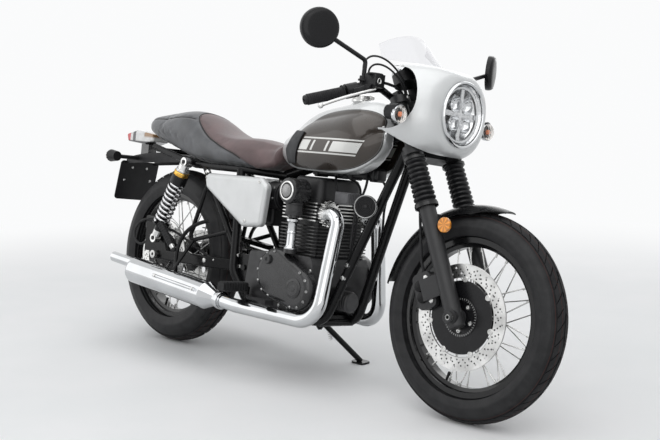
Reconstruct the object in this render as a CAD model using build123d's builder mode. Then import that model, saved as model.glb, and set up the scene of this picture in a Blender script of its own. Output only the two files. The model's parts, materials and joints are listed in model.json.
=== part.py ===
"""Cafe racer motorcycle with an upright air-cooled twin, parked on its side stand.

Every piece is drawn in the bike's own upright frame, in millimetres: +X forward, +Y to the rider's left,
+Z up, with zero on the ground below the rear axle.  The finished pieces are then turned with the handlebar
and leaned over on to the stand, so that both tyres and the stand's foot touch the floor at Z = 0.
"""

import os
from math import atan2, cos, degrees, radians, sin, sqrt, tan

from build123d import *

# Chassis geometry
WHEELBASE = 1465.0
RAKE = 26.0
TRAIL = 94.0
LEAN = 8.5
STEER_REST = 3.0
STEER_LOCK = 36.0

# Wheels and tyres
FRONT_TYRE_RADIUS = 318.5
FRONT_TYRE_WIDTH = 100.0
REAR_TYRE_RADIUS = 332.5
REAR_TYRE_WIDTH = 124.0
BEAD_RADIUS = 228.6
FLANGE_HEIGHT = 12.0
RIM_WALL = 4.0
RIM_WELL_DEPTH = 13.0
FRONT_RIM_WIDTH = 55.0
REAR_RIM_WIDTH = 72.0
TREAD_THICKNESS = 12.0
BEAD_WIDTH = 10.0
SPOKE_RADIUS = 2.0
SPOKES_PER_SIDE = 18
SPOKE_END_GAP = 0.95
AXLE_RADIUS = 10.0
AXLE_BORE = 6.0
HUB_CLEARANCE = 0.05
SEAT_GAP = 0.3
RUN_GAP = 5.0

# Brakes and drive
DISC_THICKNESS = 5.0
FRONT_DISC_RADIUS = 160.0
REAR_DISC_RADIUS = 135.0
DISC_BAND = 42.0
DISC_HOLE_RADIUS = 3.5
FRONT_DISC_Y = 64.0
REAR_DISC_Y = 88.0
CHAIN_PITCH = 15.875
REAR_TEETH = 37
FRONT_TEETH = 15
CHAIN_Y = 84.0
CHAIN_INNER_WIDTH = 9.6
CHAIN_PLATE = 2.0
CHAIN_PLATE_HEIGHT = 14.0
SPROCKET_THICKNESS = 7.6

# Front fork and steering head
FORK_SPREAD = 97.5
FORK_TUBE_RADIUS = 20.5
FORK_LEG_RADIUS = 26.0
LEG_BOTTOM = -34.0
LEG_TOP = 352.0
GAITER_TOP = 506.0
GAITER_RADIUS = 35.0
GAITER_FOLDS = 10
LOWER_CLAMP = (520.0, 546.0)
UPPER_CLAMP = (690.0, 714.0)
STEM_RADIUS = 15.0
HEAD_RADIUS = 29.0
HEAD_GAP = 1.5

# Frame tubes
CRADLE_RADIUS = 16.0
RAIL_RADIUS = 12.0
BACKBONE_RADIUS = 20.0
CRADLE_Y = 95.0
PIVOT_X, PIVOT_Z = 505.0, 345.0
PIVOT_RADIUS = 22.0
ARM_Y = 114.0

# Engine
ENGINE_BOTTOM = 232.0
ENGINE_DECK = 425.0
HEAD_FLOOR = 538.0
HEAD_BLOCK = 80.0
ENGINE_TOP = 690.0
ENGINE_HALF_WIDTH = 132.0
CYLINDER_X = 782.0
CYLINDER_DEPTH = 186.0
CYLINDER_HALF_WIDTH = 126.0
FIN_PITCH = 11.5
FIN_THICKNESS = 4.0
FIN_REACH = 14.0
PORT_Y, PORT_Z = 92.0, 572.0

# Exhaust
PIPE_RADIUS = 24.0
MUFFLER_RADIUS = 49.0
MUFFLER_Y = 205.0
TIP_RADIUS = 20.0

# Body work
COWL_WALL = 4.0
LAMP_Z = 926.0
LAMP_RADIUS = 103.0
SCREEN_WALL = 3.0
BAR_RADIUS = 11.1
GRIP_RADIUS = 17.0
MIRROR_RADIUS = 60.0

FRONT_AXLE = Vector(WHEELBASE, 0, FRONT_TYRE_RADIUS)
REAR_AXLE = Vector(0, 0, REAR_TYRE_RADIUS)
FORK_OFFSET = FRONT_TYRE_RADIUS * sin(radians(RAKE)) - TRAIL * cos(radians(RAKE))
FORK_UP = Vector(-sin(radians(RAKE)), 0, cos(radians(RAKE)))
FORK_AHEAD = Vector(cos(radians(RAKE)), 0, sin(radians(RAKE)))
# The fork plane stands on the steering axis level with the front axle, with its normal up the axis.
FORK = Plane(origin=FRONT_AXLE - FORK_AHEAD * FORK_OFFSET, x_dir=FORK_AHEAD, z_dir=FORK_UP)
Y_AXIS = Vector(0, 1, 0)


def fork_point(ahead, left, up):
    """A point given along the fork, in the bike's frame."""
    return FORK.from_local_coords(Vector(ahead, left, up))


def wheel_plane(axle, angle=90.0):
    """Half plane through a wheel's axle: local X is the radius, local Y the wheel's width."""
    radial = Vector(cos(radians(angle)), 0, sin(radians(angle)))
    return Plane(origin=axle, x_dir=radial, z_dir=radial.cross(Y_AXIS))


def cross_plane(x):
    """Plane across the bike at x: local X runs to the left, local Y up."""
    return Plane(origin=(x, 0, 0), x_dir=(0, 1, 0), z_dir=(1, 0, 0))


def side_plane(y):
    """Plane along the bike at y, seen from the right: local X runs forward, local Y up."""
    return Plane(origin=(0, y, 0), x_dir=(1, 0, 0), z_dir=(0, -1, 0))


def bent_tube(points, bend, radius):
    """A round bar along straight runs joined by tangent arcs of one radius, or one for each corner."""
    with BuildPart() as bar:
        with BuildLine() as route:
            if len(points) > 2:
                FilletPolyline(*points, radius=bend)
            else:
                Line(*points)
        with BuildSketch(Plane(origin=route.line @ 0, z_dir=route.line % 0)):
            Circle(radius)
        sweep()
    return bar.part


def both_sides(points):
    """A list of points and its mirror image on the other side of the bike."""
    return [points, [(x, -y, z) for x, y, z in points]]


# Wheels: tyre, rim, laced hub, brake disc
WHEELS = {
    # name: axle, tyre radius, tyre width, rim width,
    # right boss reach, left boss reach, flange y, flange radius
    "front": (FRONT_AXLE, FRONT_TYRE_RADIUS, FRONT_TYRE_WIDTH, FRONT_RIM_WIDTH, 61.5, 52.0, 32.0, 52.0),
    "rear": (REAR_AXLE, REAR_TYRE_RADIUS, REAR_TYRE_WIDTH, REAR_RIM_WIDTH, 85.5, 80.0, 40.0, 62.0),
}
FLANGE_THICKNESS = 6.0
HUB_RADIUS = 34.0


def make_tyre(axle, radius, width, rim_width):
    """A hollow tyre whose beads sit between the rim's flanges."""
    bead_r = BEAD_RADIUS + SEAT_GAP
    flange_r = BEAD_RADIUS + FLANGE_HEIGHT + SEAT_GAP
    bead_y = rim_width / 2 - SEAT_GAP
    inner_y = bead_y - BEAD_WIDTH
    crown = width / 2
    wall_r = flange_r + 0.35 * (radius - crown - flange_r)
    wall_y = bead_y + 0.72 * (crown - bead_y)
    with BuildPart() as tyre:
        with BuildSketch(wheel_plane(axle)):
            with BuildLine():
                Line((bead_r, -bead_y), (flange_r, -bead_y))
                ThreePointArc((flange_r, -bead_y), (wall_r, -wall_y), (radius - crown, -crown))
                ThreePointArc((radius - crown, -crown), (radius, 0), (radius - crown, crown))
                ThreePointArc((radius - crown, crown), (wall_r, wall_y), (flange_r, bead_y))
                Line((flange_r, bead_y), (bead_r, bead_y))
                Polyline((bead_r, bead_y), (bead_r, inner_y), (flange_r, inner_y))
                ThreePointArc((flange_r, inner_y), (radius - TREAD_THICKNESS, 0), (flange_r, -inner_y))
                Polyline((flange_r, -inner_y), (bead_r, -inner_y), (bead_r, -bead_y))
            make_face()
        revolve(axis=Axis(axle, Y_AXIS))
    return tyre.part


def make_rim(axle, rim_width):
    """A drop-centre rim with two flanges."""
    half = rim_width / 2
    well_half = half * 0.42
    well_r = BEAD_RADIUS - RIM_WELL_DEPTH
    with BuildPart() as rim:
        with BuildSketch(wheel_plane(axle)):
            with BuildLine():
                Polyline(
                    (BEAD_RADIUS + FLANGE_HEIGHT, half + RIM_WALL),
                    (BEAD_RADIUS + FLANGE_HEIGHT, half),
                    (BEAD_RADIUS, half),
                    (BEAD_RADIUS, well_half + RIM_WALL),
                    (well_r, well_half),
                    (well_r, -well_half),
                    (BEAD_RADIUS, -well_half - RIM_WALL),
                    (BEAD_RADIUS, -half),
                    (BEAD_RADIUS + FLANGE_HEIGHT, -half),
                    (BEAD_RADIUS + FLANGE_HEIGHT, -half - RIM_WALL),
                    (BEAD_RADIUS - RIM_WALL, -half - RIM_WALL),
                    (BEAD_RADIUS - RIM_WALL - 2, -well_half - 2 * RIM_WALL),
                    (well_r - RIM_WALL, -well_half - RIM_WALL),
                    (well_r - RIM_WALL, well_half + RIM_WALL),
                    (BEAD_RADIUS - RIM_WALL - 2, well_half + 2 * RIM_WALL),
                    (BEAD_RADIUS - RIM_WALL, half + RIM_WALL),
                    close=True,
                )
            make_face()
        revolve(axis=Axis(axle, Y_AXIS))
    return rim.part


def make_laced_hub(axle, rim_width, right_reach, left_reach, flange_y, flange_r):
    """A bored hub with two spoke flanges and crossed wire spokes that end just inside the rim."""
    rim_r = BEAD_RADIUS - RIM_WELL_DEPTH - RIM_WALL - SPOKE_END_GAP
    bore = AXLE_RADIUS + HUB_CLEARANCE
    with BuildPart() as hub:
        with BuildSketch(wheel_plane(axle)):
            with BuildLine():
                Polyline(
                    (bore, -right_reach),
                    (HUB_RADIUS, -right_reach),
                    (HUB_RADIUS, -flange_y - FLANGE_THICKNESS),
                    (flange_r, -flange_y - FLANGE_THICKNESS),
                    (flange_r, -flange_y),
                    (HUB_RADIUS, -flange_y + FLANGE_THICKNESS),
                    (HUB_RADIUS, flange_y - FLANGE_THICKNESS),
                    (flange_r, flange_y),
                    (flange_r, flange_y + FLANGE_THICKNESS),
                    (HUB_RADIUS, flange_y + FLANGE_THICKNESS),
                    (HUB_RADIUS, left_reach),
                    (bore, left_reach),
                    close=True,
                )
            make_face()
        revolve(axis=Axis(axle, Y_AXIS))
    around = Plane(origin=axle, x_dir=(0, 0, 1), z_dir=(0, 1, 0))
    crossing = 360.0 / SPOKES_PER_SIDE * 2.6
    step = 360.0 / SPOKES_PER_SIDE
    spokes = []
    for side in (-1, 1):
        for lean_way in (-1, 1):
            start_turn = (0.5 if side > 0 else 0.0) * step + (0.25 if lean_way > 0 else 0.0) * step
            foot = radians(start_turn)
            tip = radians(start_turn + lean_way * crossing)
            inset = side * (flange_y + FLANGE_THICKNESS / 2 + lean_way * (FLANGE_THICKNESS / 2 - 0.5))
            start = around.from_local_coords(
                Vector((flange_r - 6) * cos(foot), (flange_r - 6) * sin(foot), inset)
            )
            end = around.from_local_coords(
                Vector(rim_r * cos(tip), rim_r * sin(tip), side * rim_width * 0.12)
            )
            spokes.append(bent_tube([start, end], 0, SPOKE_RADIUS))
    with BuildPart(around) as laced:
        add(around.to_local_coords(hub.part))
        with PolarLocations(0, SPOKES_PER_SIDE // 2):
            for spoke in spokes:
                add(around.to_local_coords(spoke))
    return laced.part


def make_disc(axle, y_in, radius, hub_r, lugs, direction):
    """A drilled brake ring on a lugged carrier; y_in is the face next to the hub."""
    face = Plane(origin=axle + Y_AXIS * y_in, x_dir=(0, 0, 1), z_dir=(0, direction, 0))
    band_r = radius - DISC_BAND
    lug_r = 7.0
    with BuildPart(face) as disc:
        Cylinder(radius, DISC_THICKNESS, align=(Align.CENTER, Align.CENTER, Align.MIN))
        Cylinder(band_r, DISC_THICKNESS, align=(Align.CENTER, Align.CENTER, Align.MIN), mode=Mode.SUBTRACT)
        Cylinder(band_r - 8, DISC_THICKNESS, align=(Align.CENTER, Align.CENTER, Align.MIN))
        with PolarLocations(band_r - 4, lugs):
            Cylinder(lug_r, DISC_THICKNESS, align=(Align.CENTER, Align.CENTER, Align.MIN))
        Cylinder(
            hub_r, DISC_THICKNESS, align=(Align.CENTER, Align.CENTER, Align.MIN), mode=Mode.SUBTRACT
        )
        with PolarLocations(radius - DISC_BAND * 0.28, 24):
            Cylinder(DISC_HOLE_RADIUS, DISC_THICKNESS * 3, mode=Mode.SUBTRACT)
        with PolarLocations(radius - DISC_BAND * 0.68, 24, start_angle=7.5):
            Cylinder(DISC_HOLE_RADIUS, DISC_THICKNESS * 3, mode=Mode.SUBTRACT)
    return disc.part


def make_axle(axle, right_end, left_end, bore):
    """A hollow wheel spindle with a flat head on the right."""
    base = Plane(origin=axle + Y_AXIS * -right_end, x_dir=(0, 0, 1), z_dir=(0, 1, 0))
    with BuildPart(base) as spindle:
        Cylinder(AXLE_RADIUS, right_end + left_end, align=(Align.CENTER, Align.CENTER, Align.MIN))
        Cylinder(AXLE_RADIUS + 5, 8, align=(Align.CENTER, Align.CENTER, Align.MAX))
        Cylinder(bore, 3 * (right_end + left_end), mode=Mode.SUBTRACT)
    return spindle.part


front = WHEELS["front"]
rear = WHEELS["rear"]
front_tyre = make_tyre(*front[:4])
rear_tyre = make_tyre(*rear[:4])
front_rim = make_rim(front[0], front[3])
rear_rim = make_rim(rear[0], rear[3])
front_hub = make_laced_hub(front[0], *front[3:])
rear_hub = make_laced_hub(rear[0], *rear[3:])
front_disc = make_disc(FRONT_AXLE, -(FRONT_DISC_Y - DISC_THICKNESS / 2), FRONT_DISC_RADIUS, 22.0, 7, -1)
rear_disc = make_disc(REAR_AXLE, -(REAR_DISC_Y - DISC_THICKNESS / 2), REAR_DISC_RADIUS, 22.0, 5, -1)
fork_reach = FORK_SPREAD + FORK_LEG_RADIUS
front_axle = make_axle(FRONT_AXLE, fork_reach + 1, fork_reach, AXLE_BORE)
rear_axle = make_axle(REAR_AXLE, ARM_Y + 20, ARM_Y + 20, AXLE_BORE)

# Rear sprocket and chain
SPROCKET_RADIUS = CHAIN_PITCH / (2 * sin(radians(180.0 / REAR_TEETH)))
DRIVE_RADIUS = CHAIN_PITCH / (2 * sin(radians(180.0 / FRONT_TEETH)))
DRIVE_X, DRIVE_Z = 590.0, 345.0
COVER_BACK = 532.0
TOOTH_HEIGHT = 5.0

with BuildPart() as rear_sprocket:
    with BuildSketch(Plane(origin=REAR_AXLE + Y_AXIS * CHAIN_Y, x_dir=(0, 0, 1), z_dir=(0, 1, 0))):
        Circle(SPROCKET_RADIUS - 4)
        with PolarLocations(SPROCKET_RADIUS - 4, REAR_TEETH):
            Trapezoid(2 * TOOTH_HEIGHT + 6, 2 * TOOTH_HEIGHT, 60, rotation=-90)
        with PolarLocations(62, 5):
            Circle(15, mode=Mode.SUBTRACT)
        Circle(22.0, mode=Mode.SUBTRACT)
    extrude(amount=SPROCKET_THICKNESS / 2, both=True)

# The chain leaves the engine's sprocket cover, goes round the rear sprocket and returns.
spread = degrees(
    atan2(SPROCKET_RADIUS - DRIVE_RADIUS, sqrt(DRIVE_X**2 + (REAR_AXLE.Z - DRIVE_Z) ** 2))
)


def on_sprocket(angle):
    """Point of the chain's pitch line on the rear sprocket."""
    return (SPROCKET_RADIUS * cos(radians(angle)), REAR_AXLE.Z + SPROCKET_RADIUS * sin(radians(angle)))


TOP_TURN = 90.0 + spread
LOW_TURN = 270.0 - spread
top_leave = on_sprocket(TOP_TURN)
low_leave = on_sprocket(LOW_TURN)
top_start = (COVER_BACK - SEAT_GAP, top_leave[1] - (COVER_BACK - top_leave[0]) * tan(radians(spread)))
low_start = (COVER_BACK - SEAT_GAP, low_leave[1] + (COVER_BACK - low_leave[0]) * tan(radians(spread)))
PIN_RADIUS = 3.0
PIN_RUN_X = (130.0, 500.0)


def chain_strand(y):
    """One row of link plates as a band round the sprocket."""
    half = CHAIN_PLATE_HEIGHT / 2
    with BuildPart() as strand:
        with BuildLine(side_plane(y)) as route:
            Line(top_start, top_leave)
            ThreePointArc(top_leave, on_sprocket(180), low_leave)
            Line(low_leave, low_start)
        with BuildSketch(Plane(origin=route.line @ 0, x_dir=(0, 1, 0), z_dir=route.line % 0)):
            Rectangle(CHAIN_PLATE, 2 * half)
        sweep()
    return strand.part


strand_y = CHAIN_INNER_WIDTH / 2 + CHAIN_PLATE / 2
strands = [chain_strand(CHAIN_Y - strand_y), chain_strand(CHAIN_Y + strand_y)]
pins = []
for start, leave in ((top_start, top_leave), (low_start, low_leave)):
    run_slope = (leave[1] - start[1]) / (leave[0] - start[0])
    count = int((PIN_RUN_X[1] - PIN_RUN_X[0]) / CHAIN_PITCH)
    for link in range(count):
        x = PIN_RUN_X[1] - link * CHAIN_PITCH
        pins.append((x, start[1] + (x - start[0]) * run_slope))
with BuildPart() as chain:
    for strand in strands:
        add(strand)
    with BuildSketch(side_plane(CHAIN_Y + strand_y + CHAIN_PLATE)):
        with Locations(*pins):
            Circle(PIN_RADIUS)
    extrude(amount=2 * (strand_y + CHAIN_PLATE))

# Front fork: legs, gaiters, clamps
CALIPER_FACE = 88.0
LUG_THICKNESS = 10.0
REFLECTOR_UP = 272.0
REFLECTOR_RADIUS = 23.0
REFLECTOR_AHEAD = 106.0
TAB_THICKNESS = 6.0
AXLE_BOSS_RADIUS = 24.0

with BuildPart(FORK) as fork_legs:
    with Locations((FORK_OFFSET, -FORK_SPREAD, 0), (FORK_OFFSET, FORK_SPREAD, 0)):
        with Locations((0, 0, LEG_BOTTOM)):
            Cylinder(FORK_LEG_RADIUS, LEG_TOP - LEG_BOTTOM, align=(Align.CENTER, Align.CENTER, Align.MIN))
        with Locations((0, 0, LEG_TOP - 1)):
            Cylinder(
                FORK_TUBE_RADIUS,
                UPPER_CLAMP[1] + 5 - LEG_TOP,
                align=(Align.CENTER, Align.CENTER, Align.MIN),
            )
        Cylinder(AXLE_BOSS_RADIUS, 2 * FORK_LEG_RADIUS, rotation=(90, 0, 0))
        with Locations((0, 0, REFLECTOR_UP)):
            Box(
                REFLECTOR_AHEAD - FORK_OFFSET + 8,
                TAB_THICKNESS,
                24,
                align=(Align.MIN, Align.CENTER, Align.CENTER),
            )
    # lug that carries the brake caliper, behind the right leg
    with Locations((FORK_OFFSET, -CALIPER_FACE - LUG_THICKNESS / 2, 112)):
        Box(96, LUG_THICKNESS, 66, align=(Align.MAX, Align.CENTER, Align.CENTER))
    with Locations((FORK_OFFSET, 0, 0)):
        Cylinder(AXLE_RADIUS + HUB_CLEARANCE, 600, rotation=(90, 0, 0), mode=Mode.SUBTRACT)
    fillet(fork_legs.faces().sort_by(Axis(FORK.origin, FORK_UP))[:2].edges(), 8)

gaiter_bottom = LEG_TOP + SEAT_GAP
fold = (GAITER_TOP - gaiter_bottom) / GAITER_FOLDS
gaiter_bore = FORK_TUBE_RADIUS + SEAT_GAP
folds = [(gaiter_bore, gaiter_bottom)]
for ring in range(GAITER_FOLDS):
    taper = 1.0 - 0.10 * ring / GAITER_FOLDS
    folds.append((GAITER_RADIUS * 0.83 * taper, gaiter_bottom + ring * fold))
    folds.append((GAITER_RADIUS * taper, gaiter_bottom + (ring + 0.35) * fold))
    folds.append((GAITER_RADIUS * taper, gaiter_bottom + (ring + 0.65) * fold))
folds += [(GAITER_RADIUS * 0.75, GAITER_TOP), (gaiter_bore, GAITER_TOP)]
with BuildPart() as fork_gaiters:
    for side in (-1, 1):
        leg_axis = fork_point(FORK_OFFSET, side * FORK_SPREAD, 0)
        with BuildSketch(Plane(origin=leg_axis, x_dir=FORK_AHEAD, z_dir=(0, -1, 0))):
            with BuildLine():
                Polyline(*folds, close=True)
            make_face()
        revolve(axis=Axis(leg_axis, FORK_UP))

CLAMP_BOSS_RADIUS = 31.0
STEM_BOSS_RADIUS = 32.0
with BuildPart() as fork_clamps:
    for low, high in (LOWER_CLAMP, UPPER_CLAMP):
        with BuildSketch(FORK.offset(low)):
            with Locations((FORK_OFFSET, FORK_SPREAD), (FORK_OFFSET, -FORK_SPREAD)):
                Circle(CLAMP_BOSS_RADIUS)
            Circle(STEM_BOSS_RADIUS)
            with Locations((FORK_OFFSET * 0.6, 0)):
                Rectangle(44, 2 * FORK_SPREAD)
            with Locations((FORK_OFFSET, FORK_SPREAD), (FORK_OFFSET, -FORK_SPREAD)):
                Circle(FORK_TUBE_RADIUS + HUB_CLEARANCE, mode=Mode.SUBTRACT)
        extrude(amount=high - low)
    with BuildSketch(FORK.offset(LOWER_CLAMP[0])):
        Circle(STEM_RADIUS)
    extrude(amount=UPPER_CLAMP[1] - LOWER_CLAMP[0] + 10)

# Front brake caliper, mudguard and reflectors
SLOT_HALF = DISC_THICKNESS / 2 + RUN_GAP
with BuildPart(FORK) as front_caliper:
    with Locations((-2, -CALIPER_FACE, 112)):
        Box(70, 42, 112, align=(Align.MAX, Align.MIN, Align.CENTER))
    fillet(front_caliper.edges().filter_by(Axis(FORK.origin, (0, 1, 0))), 18)
    slot_face = FRONT_AXLE - Y_AXIS * (FRONT_DISC_Y + SLOT_HALF)
    with BuildSketch(Plane(origin=slot_face, x_dir=(0, 0, 1), z_dir=(0, 1, 0))):
        Circle(FRONT_DISC_RADIUS + RUN_GAP)
    extrude(amount=2 * SLOT_HALF, mode=Mode.SUBTRACT)

GUARD_HALF_WIDTH = 58.0
GUARD_CROWN = FRONT_TYRE_RADIUS + 22.0
GUARD_EDGE = FRONT_TYRE_RADIUS - 10.0
GUARD_WALL = 3.0
GUARD_REAR_ANGLE = 169.0
GUARD_SWEEP = 94.0
STAY_UP = 318.0
STAY_RADIUS = 11.0
with BuildPart() as front_mudguard:
    with BuildSketch(wheel_plane(FRONT_AXLE, GUARD_REAR_ANGLE)):
        with BuildLine():
            ThreePointArc((GUARD_EDGE, GUARD_HALF_WIDTH), (GUARD_CROWN, 0), (GUARD_EDGE, -GUARD_HALF_WIDTH))
            Line((GUARD_EDGE, -GUARD_HALF_WIDTH), (GUARD_EDGE, -GUARD_HALF_WIDTH + GUARD_WALL))
            ThreePointArc(
                (GUARD_EDGE, -GUARD_HALF_WIDTH + GUARD_WALL),
                (GUARD_CROWN - GUARD_WALL, 0),
                (GUARD_EDGE, GUARD_HALF_WIDTH - GUARD_WALL),
            )
            Line((GUARD_EDGE, GUARD_HALF_WIDTH - GUARD_WALL), (GUARD_EDGE, GUARD_HALF_WIDTH))
        make_face()
    revolve(axis=Axis(FRONT_AXLE, Y_AXIS), revolution_arc=GUARD_SWEEP)
    stay_reach = FORK_SPREAD - FORK_LEG_RADIUS - SEAT_GAP
    for side in (-1, 1):
        stay_end = fork_point(FORK_OFFSET, side * stay_reach, STAY_UP)
        with BuildSketch(Plane(origin=stay_end, x_dir=FORK_AHEAD, z_dir=(0, -side, 0))):
            Circle(STAY_RADIUS)
        extrude(amount=stay_reach - GUARD_HALF_WIDTH + 12)

with BuildPart() as reflectors:
    for side in (-1, 1):
        face = fork_point(REFLECTOR_AHEAD, side * (FORK_SPREAD + TAB_THICKNESS / 2), REFLECTOR_UP)
        with BuildSketch(Plane(origin=face, x_dir=FORK_AHEAD, z_dir=(0, side, 0))):
            Circle(REFLECTOR_RADIUS)
        extrude(amount=9)
        fillet(reflectors.faces().sort_by(Axis.Y)[0 if side < 0 else -1].edges(), 3)

# Handlebar, grips, controls and mirrors
BAR_CENTRE = (1098.0, 0.0, 962.0)
BAR_KNEE = (1098.0, 70.0, 962.0)
BAR_ELBOW = (1124.0, 160.0, 979.0)
GRIP_IN = (1090.0, 265.0, 956.0)
GRIP_OUT = (1037.0, 385.0, 911.0)
BAR_BEND = 36.0
GRIP_LENGTH = 122.0
bar_half = [BAR_KNEE, BAR_ELBOW, GRIP_IN, GRIP_OUT]
bar_route = [(x, -y, z) for x, y, z in reversed(bar_half)] + bar_half
handlebar_tube = bent_tube(bar_route, BAR_BEND, BAR_RADIUS)
bar_room = bent_tube(bar_route, BAR_BEND, BAR_RADIUS + HUB_CLEARANCE)
grip_way = (Vector(*GRIP_OUT) - Vector(*GRIP_IN)).normalized()
CLAMP_HALF = 45.0
RISER_RADIUS = 19.0

with BuildPart() as steering_clamps:
    add(fork_clamps.part)
    for side in (-1, 1):
        with BuildSketch(FORK.offset(UPPER_CLAMP[1])):
            with Locations((FORK.to_local_coords(Vector(*BAR_CENTRE)).X, side * CLAMP_HALF)):
                RectangleRounded(44, 30, 8)
        extrude(amount=FORK.to_local_coords(Vector(*BAR_CENTRE)).Z - UPPER_CLAMP[1] + RISER_RADIUS)
    add(bar_room, mode=Mode.SUBTRACT)

grip_frame = Plane(origin=GRIP_IN, x_dir=(grip_way.Y, -grip_way.X, 0), z_dir=grip_way)
GRIP_START = 20.0
with BuildPart(grip_frame) as left_grip:
    with Locations((0, 0, GRIP_START)):
        Cylinder(GRIP_RADIUS, GRIP_LENGTH, align=(Align.CENTER, Align.CENTER, Align.MIN))
with BuildPart() as grips:
    add(left_grip.part)
    mirror(about=Plane.XZ)
    add(bar_room, mode=Mode.SUBTRACT)

SWITCH_RADIUS = 23.0
SWITCH_LENGTH = 46.0
LEVER_AHEAD = 62.0
with BuildPart(grip_frame) as left_control:
    with Locations((0, 0, GRIP_START - 1)):
        Cylinder(SWITCH_RADIUS, SWITCH_LENGTH, align=(Align.CENTER, Align.CENTER, Align.MAX))
    with Locations((0, 0, GRIP_START - SWITCH_LENGTH - 2)):
        Cylinder(SWITCH_RADIUS - 4, 26, align=(Align.CENTER, Align.CENTER, Align.MAX))
    with Locations((LEVER_AHEAD / 2, 0, GRIP_START - SWITCH_LENGTH - 12)):
        Box(LEVER_AHEAD, 20, 26)
    with BuildLine(grip_frame) as lever_route:
        FilletPolyline(
            (LEVER_AHEAD - 10, 0, GRIP_START - SWITCH_LENGTH - 16),
            (LEVER_AHEAD, 0, GRIP_START),
            (LEVER_AHEAD - 8, 0, GRIP_START + 60),
            (LEVER_AHEAD + 4, 0, GRIP_START + 130),
            radius=40,
        )
    with BuildSketch(
        Plane(origin=lever_route.line @ 0, x_dir=grip_frame.y_dir, z_dir=lever_route.line % 0)
    ):
        RectangleRounded(16, 9, 3)
    sweep()

MIRROR_BASE_UP = 34.0
mirror_seat = grip_frame.from_local_coords(Vector(14, 0, GRIP_START - SWITCH_LENGTH - 13))
MIRROR_CENTRE = Vector(1100.0, 432.0, 1120.0)
MIRROR_TURN = 28.0
MIRROR_DEPTH = 22.0
STEM_RISE = 52.0
STEM_TOP = Vector(0, -30.0, -14.0)
with BuildPart() as left_stem_seat:
    with BuildSketch(Plane(origin=mirror_seat, z_dir=(0, 0, 1))):
        Circle(11)
    extrude(amount=MIRROR_BASE_UP)
RESERVOIR = (46.0, 42.0, 40.0)
reservoir_spot = Vector(mirror_seat.X + 34, -mirror_seat.Y + 14, mirror_seat.Z + 26)
with BuildPart() as bar_controls:
    add(left_control.part)
    add(left_stem_seat.part)
    mirror(about=Plane.XZ)
    # brake fluid reservoir on the right perch
    with Locations(reservoir_spot):
        Box(*RESERVOIR)
    add(bar_room, mode=Mode.SUBTRACT)

stem_foot = mirror_seat + Vector(0, 0, MIRROR_BASE_UP)
stem_knee = stem_foot + Vector(0, 0, STEM_RISE)
mirror_way = Vector(cos(radians(MIRROR_TURN)), sin(radians(MIRROR_TURN)), 0)
left_mirror_stem = bent_tube([stem_foot, stem_knee, MIRROR_CENTRE + STEM_TOP], 14, 7)
with BuildPart() as mirrors:
    add(left_mirror_stem)
    with BuildSketch(Plane(origin=MIRROR_CENTRE - mirror_way * (MIRROR_DEPTH / 2), z_dir=mirror_way)):
        Circle(MIRROR_RADIUS)
    extrude(amount=MIRROR_DEPTH, taper=14)
    mirror(about=Plane.XZ)

# Cowl, screen, headlight and instruments
COWL_SECTIONS = [
    # x, centre z, half width, half height, corner radius
    (1330.0, LAMP_Z, 107.5, 107.5, 106.5),
    (1308.0, LAMP_Z - 1, 147.0, 127.0, 112.0),
    (1270.0, LAMP_Z, 171.0, 136.0, 112.0),
    (1215.0, LAMP_Z + 2, 185.0, 141.0, 110.0),
    (1150.0, LAMP_Z + 4, 188.0, 142.0, 108.0),
]
CUT_X, CUT_Z, CUT_RADIUS = 1156.0, 957.0, 99.0
COWL_UNDERCUT = [(1000, 600), (1312, 600), (1312, 788), (1284, 797), (1166, 852), (1000, 852)]


def cowl_form(inset):
    """The cowl's rounded nose, opened out to the rear, drawn in by a wall."""
    with BuildPart() as form:
        for x, z, half_width, half_height, corner in COWL_SECTIONS:
            with BuildSketch(cross_plane(x)):
                with Locations((0, z)):
                    RectangleRounded(2 * (half_width - inset), 2 * (half_height - inset), corner - inset)
        loft()
    return form.part


cowl_outside = cowl_form(0)
cowl_inside = cowl_form(COWL_WALL)
with BuildPart() as cowl:
    add(cowl_outside)
    add(cowl_inside, mode=Mode.SUBTRACT)
    with BuildSketch(cross_plane(COWL_SECTIONS[-1][0])):
        with Locations((0, LAMP_Z)):
            Circle(LAMP_RADIUS + SEAT_GAP)
    extrude(amount=400, mode=Mode.SUBTRACT)
    with BuildSketch(side_plane(0)):
        with Locations((CUT_X, CUT_Z)):
            Circle(CUT_RADIUS)
        with BuildLine():
            Polyline(*COWL_UNDERCUT, close=True)
        make_face()
    extrude(amount=400, both=True, mode=Mode.SUBTRACT)

SCREEN_LOW = [(1112.0, 152.0), (1196.0, 0.0)]
SCREEN_FOOT_Z = LAMP_Z + 4 + 142.0 + SEAT_GAP
SCREEN_TOP = [(1058.0, 116.0, 1128.0), (1112.0, 0.0, 1168.0)]
top_corner = Vector(*SCREEN_TOP[0])
top_middle = Vector(*SCREEN_TOP[1])
top_tilt = Vector(top_middle.X - top_corner.X, 0, top_middle.Z - top_corner.Z).normalized()


def crescent(plane, corner, middle):
    """A thin arc of screen between two corners through a middle point."""
    with BuildSketch(plane) as thin:
        with BuildLine():
            ThreePointArc((corner[0], -corner[1]), middle, corner)
            Line(corner, (corner[0] - SCREEN_WALL, corner[1]))
            ThreePointArc(
                (corner[0] - SCREEN_WALL, corner[1]),
                (middle[0] - SCREEN_WALL, middle[1]),
                (corner[0] - SCREEN_WALL, -corner[1]),
            )
            Line((corner[0] - SCREEN_WALL, -corner[1]), (corner[0], -corner[1]))
        make_face()
    return thin.sketch


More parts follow.
